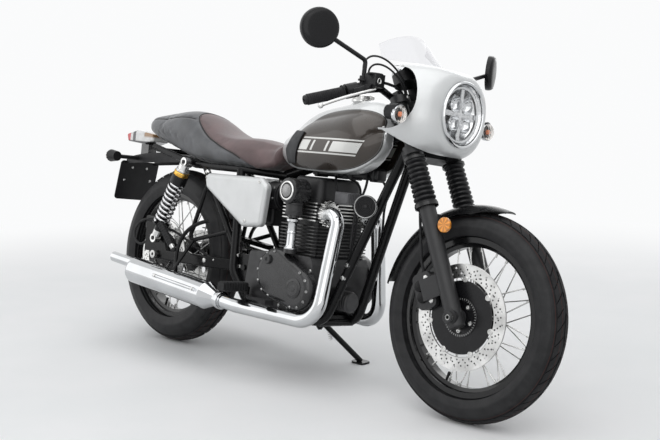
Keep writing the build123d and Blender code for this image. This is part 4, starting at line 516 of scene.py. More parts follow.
class RACER_OT_stage(bpy.types.Operator):
    """Lay the floor, hang the lights and stand the camera"""

    bl_idname = "racer.stage"
    bl_label = "Stage"

    def execute(self, context):
        context.scene.view_settings.view_transform = "Standard"
        self.camera(context)
        self.floor()
        self.lights(context)
        return {"FINISHED"}

    def camera(self, context):
        """The camera at the photograph's viewing angle."""
        azimuth, elevation, roll = 0.81, 0.14, -0.0048
        target = Vector((0.196, -0.1689, 0.5595))
        back = Vector((
            math.sin(azimuth) * math.cos(elevation),
            -math.cos(azimuth) * math.cos(elevation),
            math.sin(elevation),
        ))
        right = Vector((math.cos(azimuth), math.sin(azimuth), 0))
        view = axes_matrix(right, back.cross(right), back, target + back * 3.876)
        let_go()
        bpy.ops.object.camera_add()
        camera = context.object
        camera.matrix_world = view @ Matrix.Rotation(roll, 4, "Z")
        camera.data.lens = sizes().camera_lens
        camera.data.sensor_width = 36.0
        context.scene.camera = camera

    def floor(self):
        """A pale floor that carries the shadow and passes into a white surround."""
        let_go()
        bpy.ops.mesh.primitive_grid_add(x_subdivisions=8, y_subdivisions=8, size=60.0)
        floor = bpy.context.object
        floor.name = "studio_floor"
        made = Finish("floor_paint", Matrix.Identity(4))
        tone = made.noise(1.6, 4.0)
        made.set(Base_Color=made.ramp(tone, (0.3, (0.86, 0.87, 0.87)), (0.7, (0.9, 0.9, 0.9))))
        made.set(Roughness=made.ramp(made.noise(5.0), (0.3, 0.55), (0.7, 0.65)), Specular_IOR_Level=0.15)
        path = made.node("ShaderNodeLightPath").outputs
        seen = made.sum("MAXIMUM", path["Is Camera Ray"], path["Is Glossy Ray"])
        seen = made.sum("MAXIMUM", seen, path["Is Transmission Ray"])
        far = made.node("ShaderNodeMapRange", {"Value": made.radius("XY"), "From Min": 1.5, "From Max": 4.0},
                        interpolation_type="SMOOTHSTEP").outputs["Result"]
        white = made.node("ShaderNodeEmission", {"Color": (0.96, 0.965, 0.97), "Strength": 1.0})
        blend = made.node("ShaderNodeMixShader", {"Fac": made.sum("MULTIPLY", far, seen)})
        made.feed(blend.inputs[1], made.shader.outputs["BSDF"])
        made.feed(blend.inputs[2], white.outputs["Emission"])
        made.feed(made.tree.nodes["Material Output"].inputs["Surface"], blend.outputs["Shader"])
        give_finish(floor, made.material)

    def lights(self, context):
        """Broad soft lamps and an even white surround."""
        world = bpy.data.worlds.new("studio")
        context.scene.world = world
        world.use_nodes = True
        nodes, links = world.node_tree.nodes, world.node_tree.links
        path = nodes.new("ShaderNodeLightPath")
        seen = path.outputs["Is Camera Ray"]
        for kind in ("Is Glossy Ray", "Is Transmission Ray"):
            either = nodes.new("ShaderNodeMath")
            either.operation = "MAXIMUM"
            links.new(seen, either.inputs[0])
            links.new(path.outputs[kind], either.inputs[1])
            seen = either.outputs[0]
        white = nodes.new("ShaderNodeBackground")
        white.inputs["Color"].default_value = (0.96, 0.965, 0.97, 1)
        soft = nodes["Background"]
        soft.inputs["Color"].default_value = (0.95, 0.97, 1.0, 1)
        soft.inputs["Strength"].default_value = 0.44
        choice = nodes.new("ShaderNodeMixShader")
        links.new(seen, choice.inputs["Fac"])
        links.new(soft.outputs[0], choice.inputs[1])
        links.new(white.outputs[0], choice.inputs[2])
        links.new(choice.outputs[0], nodes["World Output"].inputs["Surface"])
        lamps = (
            ("overhead", (0.4, -0.6, 3.4), (0.1, -0.1, 0.5), 4.4, 66.0),
            ("key", (2.6, -3.0, 2.2), (0.1, -0.1, 0.5), 3.2, 32.0),
            ("fill", (-2.8, -2.6, 1.8), (0.0, -0.1, 0.5), 3.0, 20.0),
            ("rim", (-1.6, 3.2, 2.4), (0.0, 0.0, 0.6), 2.8, 26.0),
        )
        for name, spot, aim, size, power in lamps:
            let_go()
            bpy.ops.object.light_add(type="AREA", location=spot)
            lamp = context.object
            lamp.name = name
            lamp.data.shape = "SQUARE"
            lamp.data.size = size
            lamp.data.energy = power
            way = Vector(aim) - Vector(spot)
            lamp.rotation_euler = way.to_track_quat("-Z", "Y").to_euler()


class RACER_OT_solids(bpy.types.Operator):
    """Give every solid that shows its own finish"""

    bl_idname = "racer.solids"
    bl_label = "Solid Parts"

    def execute(self, context):
        bodies = {node: body for body, nodes in frame["record"]["behaviour"]["bodies"].items() for node in nodes}
        for kind, nodes in NODE_FINISHES.items():
            for node in nodes:
                give_finish(frame["nodes"][node], finish(kind, bodies[node]))
        return {"FINISHED"}


def opened(piece):
    """One piece in edit mode with nothing selected."""
    take(piece)
    bpy.ops.object.mode_set(mode="EDIT")
    bpy.ops.mesh.select_mode(type="VERT")
    bpy.ops.mesh.select_all(action="DESELECT")


def mm(*points):
    """A profile given in millimetres."""
    return [(radius / 1000, height / 1000) for radius, height in points]


def spun(profile, steps, turn=2 * math.pi):
    """A piece spun about its own Z axis from a profile of (radius, height) points."""
    let_go()
    bpy.ops.mesh.primitive_plane_add(size=0.01)
    piece = bpy.context.object
    bpy.ops.object.mode_set(mode="EDIT")
    bpy.ops.mesh.select_mode(type="VERT")
    bpy.ops.mesh.select_all(action="SELECT")
    bpy.ops.mesh.merge(type="CENTER")
    bpy.ops.transform.translate(value=(profile[0][0], 0, profile[0][1]))
    for before, after in zip(profile, profile[1:]):
        step = (after[0] - before[0], 0, after[1] - before[1])
        bpy.ops.mesh.extrude_vertices_move(TRANSFORM_OT_translate={"value": step})
    bpy.ops.mesh.select_all(action="SELECT")
    bpy.ops.mesh.spin(steps=steps, angle=turn, center=(0, 0, 0), axis=(0, 0, 1))
    bpy.ops.mesh.select_all(action="SELECT")
    bpy.ops.mesh.remove_doubles(threshold=0.000002)
    bpy.ops.mesh.normals_make_consistent(inside=False)
    let_go()
    return piece


def facing(centre, way, side=(0, 0, 1)):
    """A place whose Z axis looks one way."""
    z = Vector(way).normalized()
    x = Vector(side).cross(z)
    if x.length < 0.01:
        x = Vector((1, 0, 0)).cross(z)
    x.normalize()
    return axes_matrix(x, z.cross(x), z, Vector(centre))


def wheel_place(axle):
    """A place at an axle whose Z axis runs to the left."""
    return axes_matrix(Vector((1, 0, 0)), Vector((0, 0, -1)), Vector((0, 1, 0)), axle)


def put(piece, place):
    """Set a piece in its place and leave its object at the origin."""
    take(piece)
    piece.matrix_world = place
    bpy.ops.object.transform_apply(location=True, rotation=True, scale=True)
    return piece


def copies(master, places):
    """Copies of one piece at each place, each with its own mesh, joined into one."""
    made = []
    for place in places:
        copy = bpy.data.objects.new(master.name, master.data.copy())
        bpy.context.scene.collection.objects.link(copy)
        copy.matrix_world = place
        made.append(copy)
    bpy.data.objects.remove(master)
    take(*made)
    bpy.ops.object.transform_apply(location=True, rotation=True, scale=True)
    take(*made)
    bpy.ops.object.join()
    return bpy.context.object


def joined(*pieces):
    """Several bare pieces made into one."""
    take(*pieces)
    bpy.ops.object.join()
    return bpy.context.object


def keep(piece, name, body, slot, *materials, angle=40, stands_for=()):
    """Name, finish and shade a piece, and let it ride on its body; a finish may be given by its kind."""
    piece.name = name
    piece.data.name = name
    if materials:
        give_finish(piece, *[finish(made, body) if isinstance(made, str) else made for made in materials])
    take(piece)
    bpy.ops.object.shade_smooth_by_angle(angle=math.radians(angle))
    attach(piece, body)
    if stands_for:
        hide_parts(*stands_for)
    return piece


def modified(piece, kind, **settings):
    """Apply one modifier to a piece."""
    take(piece)
    made = piece.modifiers.new(kind.title(), kind)
    for name, value in settings.items():
        setattr(made, name, value)
    bpy.ops.object.modifier_apply(modifier=made.name)
    return piece


def remeshed(piece, voxel, smoothing=0):
    """Even quads over a closed piece, then smoothing passes."""
    modified(piece, "REMESH", mode="VOXEL", voxel_size=voxel, use_smooth_shade=True)
    if smoothing:
        modified(piece, "SMOOTH", factor=0.5, iterations=smoothing)
    return piece


def tube(points, radius, resolution=3, smooth=True):
    """A round tube along points, as a mesh with closed ends."""
    curve = bpy.data.curves.new("tube", "CURVE")
    curve.dimensions = "3D"
    curve.bevel_depth = radius
    curve.bevel_resolution = resolution
    curve.use_fill_caps = True
    spline = curve.splines.new("NURBS" if smooth else "POLY")
    spline.points.add(len(points) - 1)
    for point, spot in zip(spline.points, points):
        point.co = (*spot, 1)
    if smooth:
        spline.use_endpoint_u = True
        spline.order_u = 4
    spline.resolution_u = 6
    piece = bpy.data.objects.new("tube", curve)
    bpy.context.scene.collection.objects.link(piece)
    take(piece)
    bpy.ops.object.convert(target="MESH")
    opened(piece)
    bpy.ops.mesh.select_all(action="SELECT")
    bpy.ops.mesh.remove_doubles(threshold=0.000002)
    bpy.ops.mesh.normals_make_consistent(inside=False)
    let_go()
    return piece


def bolt_head(radius, height, socket=True):
    """A domed screw head with a hexagon socket, its seat on the XY plane."""
    profile = [(0, -0.3 * height), (radius, -0.3 * height), (radius, 0.55 * height), (0.86 * radius, 0.9 * height),
               (0.55 * radius, height)]
    if socket:
        profile += [(0.5 * radius, height), (0.5 * radius, 0.35 * height), (0, 0.35 * height)]
    else:
        profile += [(0, 1.08 * height)]
    return spun(profile, 12)


def hex_head(radius, height):
    """A hexagon bolt head with a washer face and chamfered corners."""
    let_go()
    bpy.ops.mesh.primitive_cylinder_add(vertices=6, radius=radius, depth=height, location=(0, 0, height / 2))
    nut = bpy.context.object
    bpy.ops.object.mode_set(mode="EDIT")
    bpy.ops.mesh.select_all(action="SELECT")
    bpy.ops.mesh.bevel(offset=radius * 0.12, segments=2, affect="EDGES")
    let_go()
    washer = spun([(0, -height * 0.3), (radius * 1.25, -height * 0.3), (radius * 1.25, height * 0.12),
                   (0, height * 0.12)], 16)
    return joined(nut, washer)


def rounded_box(size, bevel):
    """A box with rounded edges, centred on the origin."""
    let_go()
    bpy.ops.mesh.primitive_cube_add(size=1.0)
    box = bpy.context.object
    bpy.ops.transform.resize(value=size)
    bpy.ops.object.transform_apply(location=True, rotation=True, scale=True)
    bpy.ops.object.mode_set(mode="EDIT")
    bpy.ops.mesh.select_all(action="SELECT")
    bpy.ops.mesh.bevel(offset=bevel, segments=3, affect="EDGES")
    let_go()
    return box


def outline_distance(point, outline):
    """Distance from a flat outline, positive inside it."""
    x, z = point
    nearest, inside = 1e9, False
    for (x0, z0), (x1, z1) in zip(outline, outline[1:] + outline[:1]):
        dx, dz = x1 - x0, z1 - z0
        share = max(0.0, min(1.0, ((x - x0) * dx + (z - z0) * dz) / (dx * dx + dz * dz)))
        nearest = min(nearest, math.hypot(x - x0 - share * dx, z - z0 - share * dz))
        if (z0 > z) != (z1 > z) and x < x0 + (z - z0) * dx / dz:
            inside = not inside
    return nearest if inside else -nearest


def rounded_outline(corners, passes=3):
    """An outline with its corners cut round."""
    outline = list(corners)
    for _ in range(passes):
        outline = [
            (a[0] * (1 - share) + b[0] * share, a[1] * (1 - share) + b[1] * share)
            for a, b in zip(outline, outline[1:] + outline[:1])
            for share in (0.25, 0.75)
        ]
    return outline


def mark(piece, name, values):
    """Keep one value for each point of a piece, for its finish to read."""
    attribute = piece.data.attributes.new(name, "FLOAT", "POINT")
    attribute.data.foreach_set("value", values)


def step_at(made, value, edge, soft=0.0003):
    """A factor that passes from 0 to 1 as a value passes an edge."""
    inputs = {"Value": value, "From Min": edge - soft, "From Max": edge + soft}
    return made.node("ShaderNodeMapRange", inputs).outputs["Result"]


def within(made, value, low, high, soft=0.0003):
    """A factor that is 1 while a value lies between two edges."""
    return made.sum("SUBTRACT", step_at(made, value, low, soft), step_at(made, value, high, soft))


TYRES = {
    # name: body, axle, crown radius, half width, rim half width, bead radius
    "front_tyre": ("front_wheel", FRONT_AXLE, 0.3185, 0.05, 0.0265, 0.2416),
    "rear_tyre": ("rear_wheel", REAR_AXLE, 0.3325, 0.062, 0.035, 0.2416),
}
TREAD_COLUMNS = 192
TREAD_EDGE = math.radians(60)


def tyre_rubber(name, place, crown):
    """Tyre rubber: matt tread, smoother sidewall and faint moulding lines round the tread."""
    made = Finish(name, place)
    _, _, z = made.axes()
    radius = made.radius("XY")
    tread = step_at(made, radius, crown - 0.02, 0.004)
    tone = made.ramp(made.noise(30.0, 4.0), (0.3, (0.009, 0.009, 0.01)), (0.7, (0.018, 0.018, 0.019)))
    lines = made.sum("ADD", within(made, made.sum("ABSOLUTE", z), 0.0125, 0.0138),
                     within(made, made.sum("ABSOLUTE", z), 0.029, 0.03))
    marked = made.sum("MULTIPLY", lines, made.sum("MULTIPLY", step_at(made, radius, crown - 0.016), 0.45))
    made.set(Base_Color=made.mix(marked, tone, (0.11, 0.025, 0.014)))
    made.set(Roughness=made.ramp(tread, (0.0, 0.5), (1.0, 0.74)), Specular_IOR_Level=0.3)
    ribs = made.node("ShaderNodeTexWave", {"Vector": made.node("ShaderNodeCombineXYZ", {"X": radius}).outputs[0],
                                           "Scale": 160.0}).outputs["Fac"]
    made.bump(made.sum("MULTIPLY", ribs, made.sum("SUBTRACT", 1.0, tread)), 0.12, 0.0006)
    return made.bump(made.noise(700.0, 2.0), 0.12, 0.0005)


class RACER_OT_tyres(bpy.types.Operator):
    """Model both tyres with their cut tread"""

    bl_idname = "racer.tyres"
    bl_label = "Tyres"

    def execute(self, context):
        for name, (body, axle, crown, half, bead_half, bead) in TYRES.items():
            piece = spun(self.profile(crown, half, bead_half, bead), TREAD_COLUMNS)
            self.cut_tread(piece, crown, half)
            place = STANCES[body] @ wheel_place(axle)
            put(piece, place)
            rubber = tyre_rubber(name + "_rubber", place, crown).material
            keep(piece, name + "_cover", body, "tyre", rubber, angle=35, stands_for=(name,))
        return {"FINISHED"}

    def profile(self, crown, half, bead_half, bead):
        """The tyre's section from bead to bead, closed inside."""
        middle = crown - half
        angles = [118, 108, 99, 93, 90, 84, 81, 74, 67]
        angles += [60 - 5 * i for i in range(25)]
        angles += [-a for a in reversed([118, 108, 99, 93, 90, 84, 81, 74, 67])]
        ridge = {93: 0.0006, 90: 0.0011, 84: 0.0011, 81: 0.0}
        section = [(bead - 0.005, bead_half - 0.003), (bead, bead_half), (bead + 0.003, bead_half + 0.006)]
        for a in angles:
            reach = half + ridge.get(abs(a), 0.0)
            section.append((middle + reach * math.cos(math.radians(a)), reach * math.sin(math.radians(a))))
        section += [(bead + 0.003, -bead_half - 0.006), (bead, -bead_half), (bead - 0.005, -bead_half + 0.003)]
        return section + section[:1]

    def cut_tread(self, piece, crown, half):
        """Slant the tread's columns and sink every second one into a groove."""
        depth, sweep, narrow = sizes().groove_depth, 0.2, 0.24
        middle, pitch = crown - half, 2 * math.pi / TREAD_COLUMNS
        mesh = piece.data
        grooves = []
        for face in mesh.polygons:
            spot = face.center
            column = int((math.atan2(spot.y, spot.x) % (2 * math.pi)) / pitch)
            lean = math.degrees(math.atan2(spot.z, math.hypot(spot.x, spot.y) - middle))
            side = 1 if column % 4 == 1 else -1
            cut = 11 < lean * side < 56 or -56 < lean * side < -36
            slanted = column % 2 == 1 and cut
            turning = column % 6 == 0 and -5 < lean < 5
            crown_cut = turning or (0 < lean < 5 if column % 12 < 6 else -5 < lean < 0)
            if (slanted or crown_cut) and math.hypot(spot.x, spot.y) > middle:
                grooves.append(face.index)
        for point in mesh.vertices:
            radius = math.hypot(point.co.x, point.co.y)
            turn = math.atan2(point.co.y, point.co.x) % (2 * math.pi)
            lean = math.atan2(point.co.z, radius - middle)
            column = round(turn / pitch)
            tread = max(0.0, min(1.0, (TREAD_EDGE + 0.25 - abs(lean)) / 0.25))
            if column % 2 == 1:
                turn += pitch * (1 - 2 * narrow) * tread
            turn += sweep * min(abs(lean), TREAD_EDGE) * tread
            point.co.x, point.co.y = radius * math.cos(turn), radius * math.sin(turn)
        opened(piece)
        bpy.ops.object.mode_set(mode="OBJECT")
        for index in grooves:
            mesh.polygons[index].select = True
        bpy.ops.object.mode_set(mode="EDIT")
        bpy.ops.mesh.select_mode(type="FACE")
        bpy.ops.mesh.extrude_region_shrink_fatten(TRANSFORM_OT_shrink_fatten={"value": -depth})
        let_go()


# Edge of the dark panel on the tank's side, and the stripe band on it, as (x, z)
PANEL_EDGE = [
    (0.676, 0.722), (0.8, 0.716), (0.919, 0.717), (1.004, 0.729), (1.052, 0.756), (1.082, 0.792), (1.094, 0.836),
    (1.08, 0.884), (1.052, 0.911), (1.000, 0.921), (0.9, 0.918), (0.812, 0.905), (0.758, 0.874), (0.716, 0.826),
    (0.684, 0.77),
]


def tank_lacquer(name, place):
    """Tank paint: silver top, dark metallic side panels with a pinstripe, and a slanted pale band."""
    made = Finish(name, place)
    x, _, z = made.axes()
    panel = made.node("ShaderNodeAttribute", attribute_name="panel").outputs["Fac"]
    silver, dark = tuple(colours().silver), tuple(colours().panel)
    sparkle = made.ramp(made.cells(2400.0), (0.05, 1.0), (0.6, 0.0))
    top = made.mix(made.sum("MULTIPLY", sparkle, 0.5), tinted(silver, 0.95), tinted(silver, 1.25))
    side = made.mix(made.sum("MULTIPLY", sparkle, 0.4), dark, tinted(dark, 2.8))
    slant = made.sum("SUBTRACT", x, made.sum("MULTIPLY", made.sum("SUBTRACT", z, 0.768), 0.52))
    length = within(made, slant, 0.742, 1.02)
    rims = made.sum("ADD", within(made, z, 0.7675, 0.7725), within(made, z, 0.816, 0.821))
    blocks = made.sum("ADD", within(made, slant, 0.905, 1.02), within(made, slant, 0.742, 0.79))
    fill = made.sum("MULTIPLY", within(made, z, 0.7775, 0.811), blocks)
    bars = made.sum("ADD", within(made, slant, 0.806, 0.816), within(made, slant, 0.88, 0.89))
    fill = made.sum("ADD", fill, made.sum("MULTIPLY", within(made, z, 0.7775, 0.811), bars))
    band = made.sum("MULTIPLY", made.sum("ADD", rims, fill), length)
    inside = step_at(made, panel, 0.0, 0.0004)
    line = within(made, panel, -0.003, 0.0, 0.0004)
    body = made.mix(inside, top, side)
    body = made.mix(line, body, (0.02, 0.018, 0.016))
    body = made.mix(made.sum("MULTIPLY", band, inside), body, (0.6, 0.6, 0.58))
    made.set(Base_Color=body, Metallic=0.5, Coat_Weight=0.6, Coat_Roughness=0.03)
    made.set(Roughness=made.ramp(made.noise(26.0), (0.3, 0.27), (0.7, 0.36)))
    return made.bump(made.noise(420.0, 1.0), 0.03, 0.0003)


class RACER_OT_tank(bpy.types.Operator):
    """Model the fuel tank's painted shell, its knee pads and the filler cap"""

    bl_idname = "racer.tank"
    bl_label = "Fuel Tank"

    def execute(self, context):
        shell = remeshed(smooth_copy("fuel_tank", "tank_shell"), 0.0035, 6)
        edge = rounded_outline(PANEL_EDGE, 2)
        upright = BIKE.inverted()
        spots = [upright @ point.co for point in shell.data.vertices]
        mark(shell, "panel", [outline_distance((s.x, s.z), edge) if abs(s.y) > 0.03 else -0.05 for s in spots])
        keep(shell, "tank_shell", "chassis", "tank_paint", tank_lacquer("tank_lacquer", BIKE).material,
             angle=60, stands_for=("fuel_tank",))
        self.knee_pads()
        self.filler_cap()
        return {"FINISHED"}

    def knee_pads(self):
        """Rubber pads with a rounded edge and moulded ribs."""
        pads = remeshed(smooth_copy("knee_pads", "knee_pad_rubber"), 0.0022, 8)
        keep(pads, "knee_pad_rubber", "chassis", "rubber", "pad_rubber",
             angle=60, stands_for=("knee_pads",))

    def filler_cap(self):
        """A polished screw-down cap with a knurled rim and a key barrel."""
        cap = spun(mm((0, -12), (39, -12), (39, -5), (36.5, -3), (36.5, 8), (34, 11), (20, 13.5),
                      (18.5, 12.5), (9, 12.5), (8.5, 14.5), (0, 14.8)), 48)
        opened(cap)
        bpy.ops.object.mode_set(mode="OBJECT")
        for face in cap.data.polygons:
            turn = math.atan2(face.center.y, face.center.x)
            rim = abs(math.hypot(face.center.x, face.center.y) - 0.0365) < 0.0008 and face.center.z > 0
            face.select = rim and int(turn / (2 * math.pi) * 48 + 48) % 2 == 0
        bpy.ops.object.mode_set(mode="EDIT")
        bpy.ops.mesh.select_mode(type="FACE")
        bpy.ops.mesh.extrude_faces_move(TRANSFORM_OT_shrink_fatten={"value": -0.0012})
        let_go()
        put(cap, BIKE @ facing((0.905, 0, 0.9645), (-0.02, 0, 1)))
        keep(cap, "filler_cap", "chassis", "polished_alloy", "polished_alloy", angle=30)


# Where the seat's brown insert meets the grey cover: girth angle from the top, and x
SEAM_AXIS_Z = 0.77
INSERT_SEAM = [
    (0, 0.088), (15, 0.092), (30, 0.106), (43, 0.131), (55, 0.162), (67, 0.196), (78, 0.231), (93, 0.307),
    (104, 0.387), (116, 0.435), (140, 0.5),
]


def seam_x(angle):
    """How far forward the insert's seam lies at a girth angle in degrees."""
    angle = min(abs(angle), INSERT_SEAM[-1][0])
    for (a0, x0), (a1, x1) in zip(INSERT_SEAM, INSERT_SEAM[1:]):
        if angle <= a1:
            share = (angle - a0) / (a1 - a0)
            return x0 + (x1 - x0) * share


def saddle_leather(name, place):
    """Leather in two tones, with pebbled grain, soft creases and a worn sheen."""
    made = Finish(name, place)
    insert = made.node("ShaderNodeAttribute", attribute_name="insert").outputs["Fac"]
    brown, grey = tuple(colours().saddle), tuple(colours().shell)
    tone = made.noise(16.0, 5.0)
    warm = made.ramp(tone, (0.3, tinted(brown, 0.78)), (0.72, tinted(brown, 1.22)))
    cool = made.ramp(tone, (0.3, tinted(grey, 0.72)), (0.72, tinted(grey, 1.3)))
    chosen = step_at(made, insert, 0.0, 0.0004)
    made.set(Base_Color=made.mix(chosen, cool, warm))
    made.set(Roughness=made.mix(chosen, made.ramp(tone, (0.3, 0.34), (0.7, 0.44)),
                                made.ramp(tone, (0.3, 0.52), (0.7, 0.62))))
    made.set(Sheen_Weight=0.35, Sheen_Roughness=0.4, Specular_IOR_Level=0.55)
    made.bump(made.noise(38.0, 3.0), 0.1, 0.003)
    return made.bump(made.cells(620.0, "SMOOTH_F1"), 0.3, 0.0008)


class RACER_OT_seat(bpy.types.Operator):
    """Model the padded seat with its sewn insert, piping and stitches"""

    bl_idname = "racer.seat"
    bl_label = "Seat"

    def execute(self, context):
        cover = remeshed(smooth_copy("seat", "seat_cover"), 0.0052, 4)
        modified(cover, "DISPLACE", strength=-0.005, mid_level=0.0)
        self.fill(context, cover)
        modified(cover, "SMOOTH", factor=0.5, iterations=2)
        self.sew(cover)
        modified(cover, "SUBSURF", levels=1, render_levels=1)
        upright = BIKE.inverted()
        mark(cover, "insert", [self.insert_distance(upright @ point.co) for point in cover.data.vertices])
        leather = saddle_leather("seat_leather", BIKE).material
        tree = self.surface(cover)
        keep(cover, "seat_cover", "chassis", "seat_leather", leather, angle=80, stands_for=("seat",))
        self.trim(tree)
        return {"FINISHED"}

    def fill(self, context, cover):
        """Press the cover out over its foam by a short cloth simulation, with its swell capped."""
        start = [point.co.copy() for point in cover.data.vertices]
        cloth = cover.modifiers.new("Cover", "CLOTH")
        cloth.settings.use_pressure = True
        cloth.settings.uniform_pressure_force = 4.0
        cloth.settings.effector_weights.gravity = 0.0
        cloth.settings.quality = 4
        for number in range(1, 21):
            context.scene.frame_set(number)
        swollen = cover.evaluated_get(context.evaluated_depsgraph_get()).to_mesh()
        ends = [point.co.copy() for point in swollen.vertices]
        cover.modifiers.remove(cloth)
        context.scene.frame_set(1)
        limit = sizes().seat_swell
        for point, before, after in zip(cover.data.vertices, start, ends):
            way = after - before
            if way.length > limit:
                way *= limit / way.length
            point.co = before + way

    def insert_distance(self, spot):
        """Distance of a point of the upright bike from the insert's seam, positive on the insert."""
        angle = math.degrees(math.atan2(abs(spot.y), spot.z - SEAM_AXIS_Z))
        slope = (seam_x(angle + 4) - seam_x(max(0, angle - 4))) / math.radians(8) / 0.125
        return (spot.x - seam_x(angle)) / math.sqrt(1 + slope * slope)

    def hump_distance(self, spot):
        """Distance from the seams along the hump's upper edges."""
        if spot.x > 0.125:
            return 1.0
        angle = math.degrees(math.atan2(abs(spot.y), spot.z - SEAM_AXIS_Z))
        return math.radians(angle - 43) * 0.12

    def sew(self, cover):
        """Pull the cover in along its seams."""
        upright = BIKE.inverted()
        depth, reach = 0.0035, 0.011
        moved = []
        for point in cover.data.vertices:
            spot = upright @ point.co
            near = min(abs(self.insert_distance(spot)), abs(self.hump_distance(spot)))
            pull = depth * max(0.0, 1 - near / reach) ** 2
            moved.append(point.co - point.normal * pull)
        for point, spot in zip(cover.data.vertices, moved):
            point.co = spot

    def surface(self, cover):
        """The cover's surface in the upright bike, for laying trim on it."""
        upright = BIKE.inverted()
        points = [upright @ point.co for point in cover.data.vertices]
        return BVHTree.FromPolygons(points, [tuple(face.vertices) for face in cover.data.polygons])

    def on_cover(self, tree, x, angle):
        """The cover's point and normal at a place along it and a girth angle."""
        turn = math.radians(angle)
        way = Vector((0, math.sin(turn), math.cos(turn)))
        spot, normal, _, _ = tree.ray_cast(Vector((x, 0, SEAM_AXIS_Z)) + way * 0.4, -way)
        return spot, normal

    def trim(self, tree):
        """Piping along the seams, and a row of stitches beside it."""
        seams = [[(seam_x(a), a) for a in range(-112, 113, 4)]]
        seams += [[(-0.185 + 0.012 * i, side * 43.0) for i in range(26)] for side in (-1, 1)]
        cords, stitches = [], []
        for number, seam in enumerate(seams):
            laid = [self.on_cover(tree, x, a) for x, a in seam]
            laid = [(spot, normal) for spot, normal in laid if spot is not None]
            radius = sizes().piping if number == 0 else sizes().piping * 0.6
            cords.append(tube([spot + normal * radius * 0.2 for spot, normal in laid], radius))
            for side in (-1, 1) if number == 0 else (1,):
                stitches += self.stitches(laid, side * 0.0065)
        piping = put(joined(*cords), BIKE)
        keep(piping, "seat_piping", "chassis", "seat_leather", "piping_leather", angle=60)
        let_go()
        bpy.ops.mesh.primitive_uv_sphere_add(segments=6, ring_count=4, radius=1.0)
        thread = bpy.context.object
        bpy.ops.transform.resize(value=(0.00055, 0.00055, 0.0019))
        bpy.ops.object.transform_apply(location=True, rotation=True, scale=True)
        sewn = put(copies(thread, stitches), BIKE)
        keep(sewn, "seat_stitches", "chassis", "seat_leather", "thread", angle=60)

    def stitches(self, laid, offset):
        """Places of stitches along a seam, to one side of it."""
        places, spacing, left = [], 0.0055, 0.0
        for (spot, normal), (after, _) in zip(laid, laid[1:]):
            run = after - spot
            while left < run.length:
                way = run.normalized()
                side = normal.cross(way).normalized()
                places.append(axes_matrix(side, normal, way, spot + way * left + side * offset + normal * 0.0004))
                left += spacing
            left -= run.length
        return places


# Headlight set in the nose of the cowl: centre of its rim, looking forward
LAMP_Z = 0.926
LAMP_FRONT = 1.334
LAMP = facing((LAMP_FRONT, 0, LAMP_Z), (1, 0, 0))


def screen_acrylic(name, place):
    """Thin tinted acrylic that lets most of what is behind it through."""
    made = Finish(name, place)
    made.set(Base_Color=made.ramp(made.noise(10.0), (0.3, (0.5, 0.5, 0.57)), (0.7, (0.56, 0.56, 0.63))))
    made.set(Alpha=0.13, Coat_Weight=0.4, Coat_Roughness=0.03)
    return made.set(Roughness=made.ramp(made.noise(50.0), (0.3, 0.05), (0.7, 0.09)))


def clear_glass(name, place, tint=(1.0, 1.0, 1.0), roughness=0.02, flutes=0.0):
    """Clear moulded glass or plastic, with flutes where a lens has them."""
    made = Finish(name, place)
    made.set(Base_Color=made.ramp(made.noise(12.0), (0.3, tinted(tint, 0.97)), (0.7, tint)))
    made.set(Transmission_Weight=1.0, IOR=1.3)
    made.set(Roughness=made.ramp(made.noise(70.0), (0.4, roughness), (0.8, roughness * 2.0)))
    if flutes:
        _, y, _ = made.axes()
        waves = made.sum("SINE", made.sum("MULTIPLY", y, flutes))
        made.bump(waves, 0.25, 0.0012)
    return made


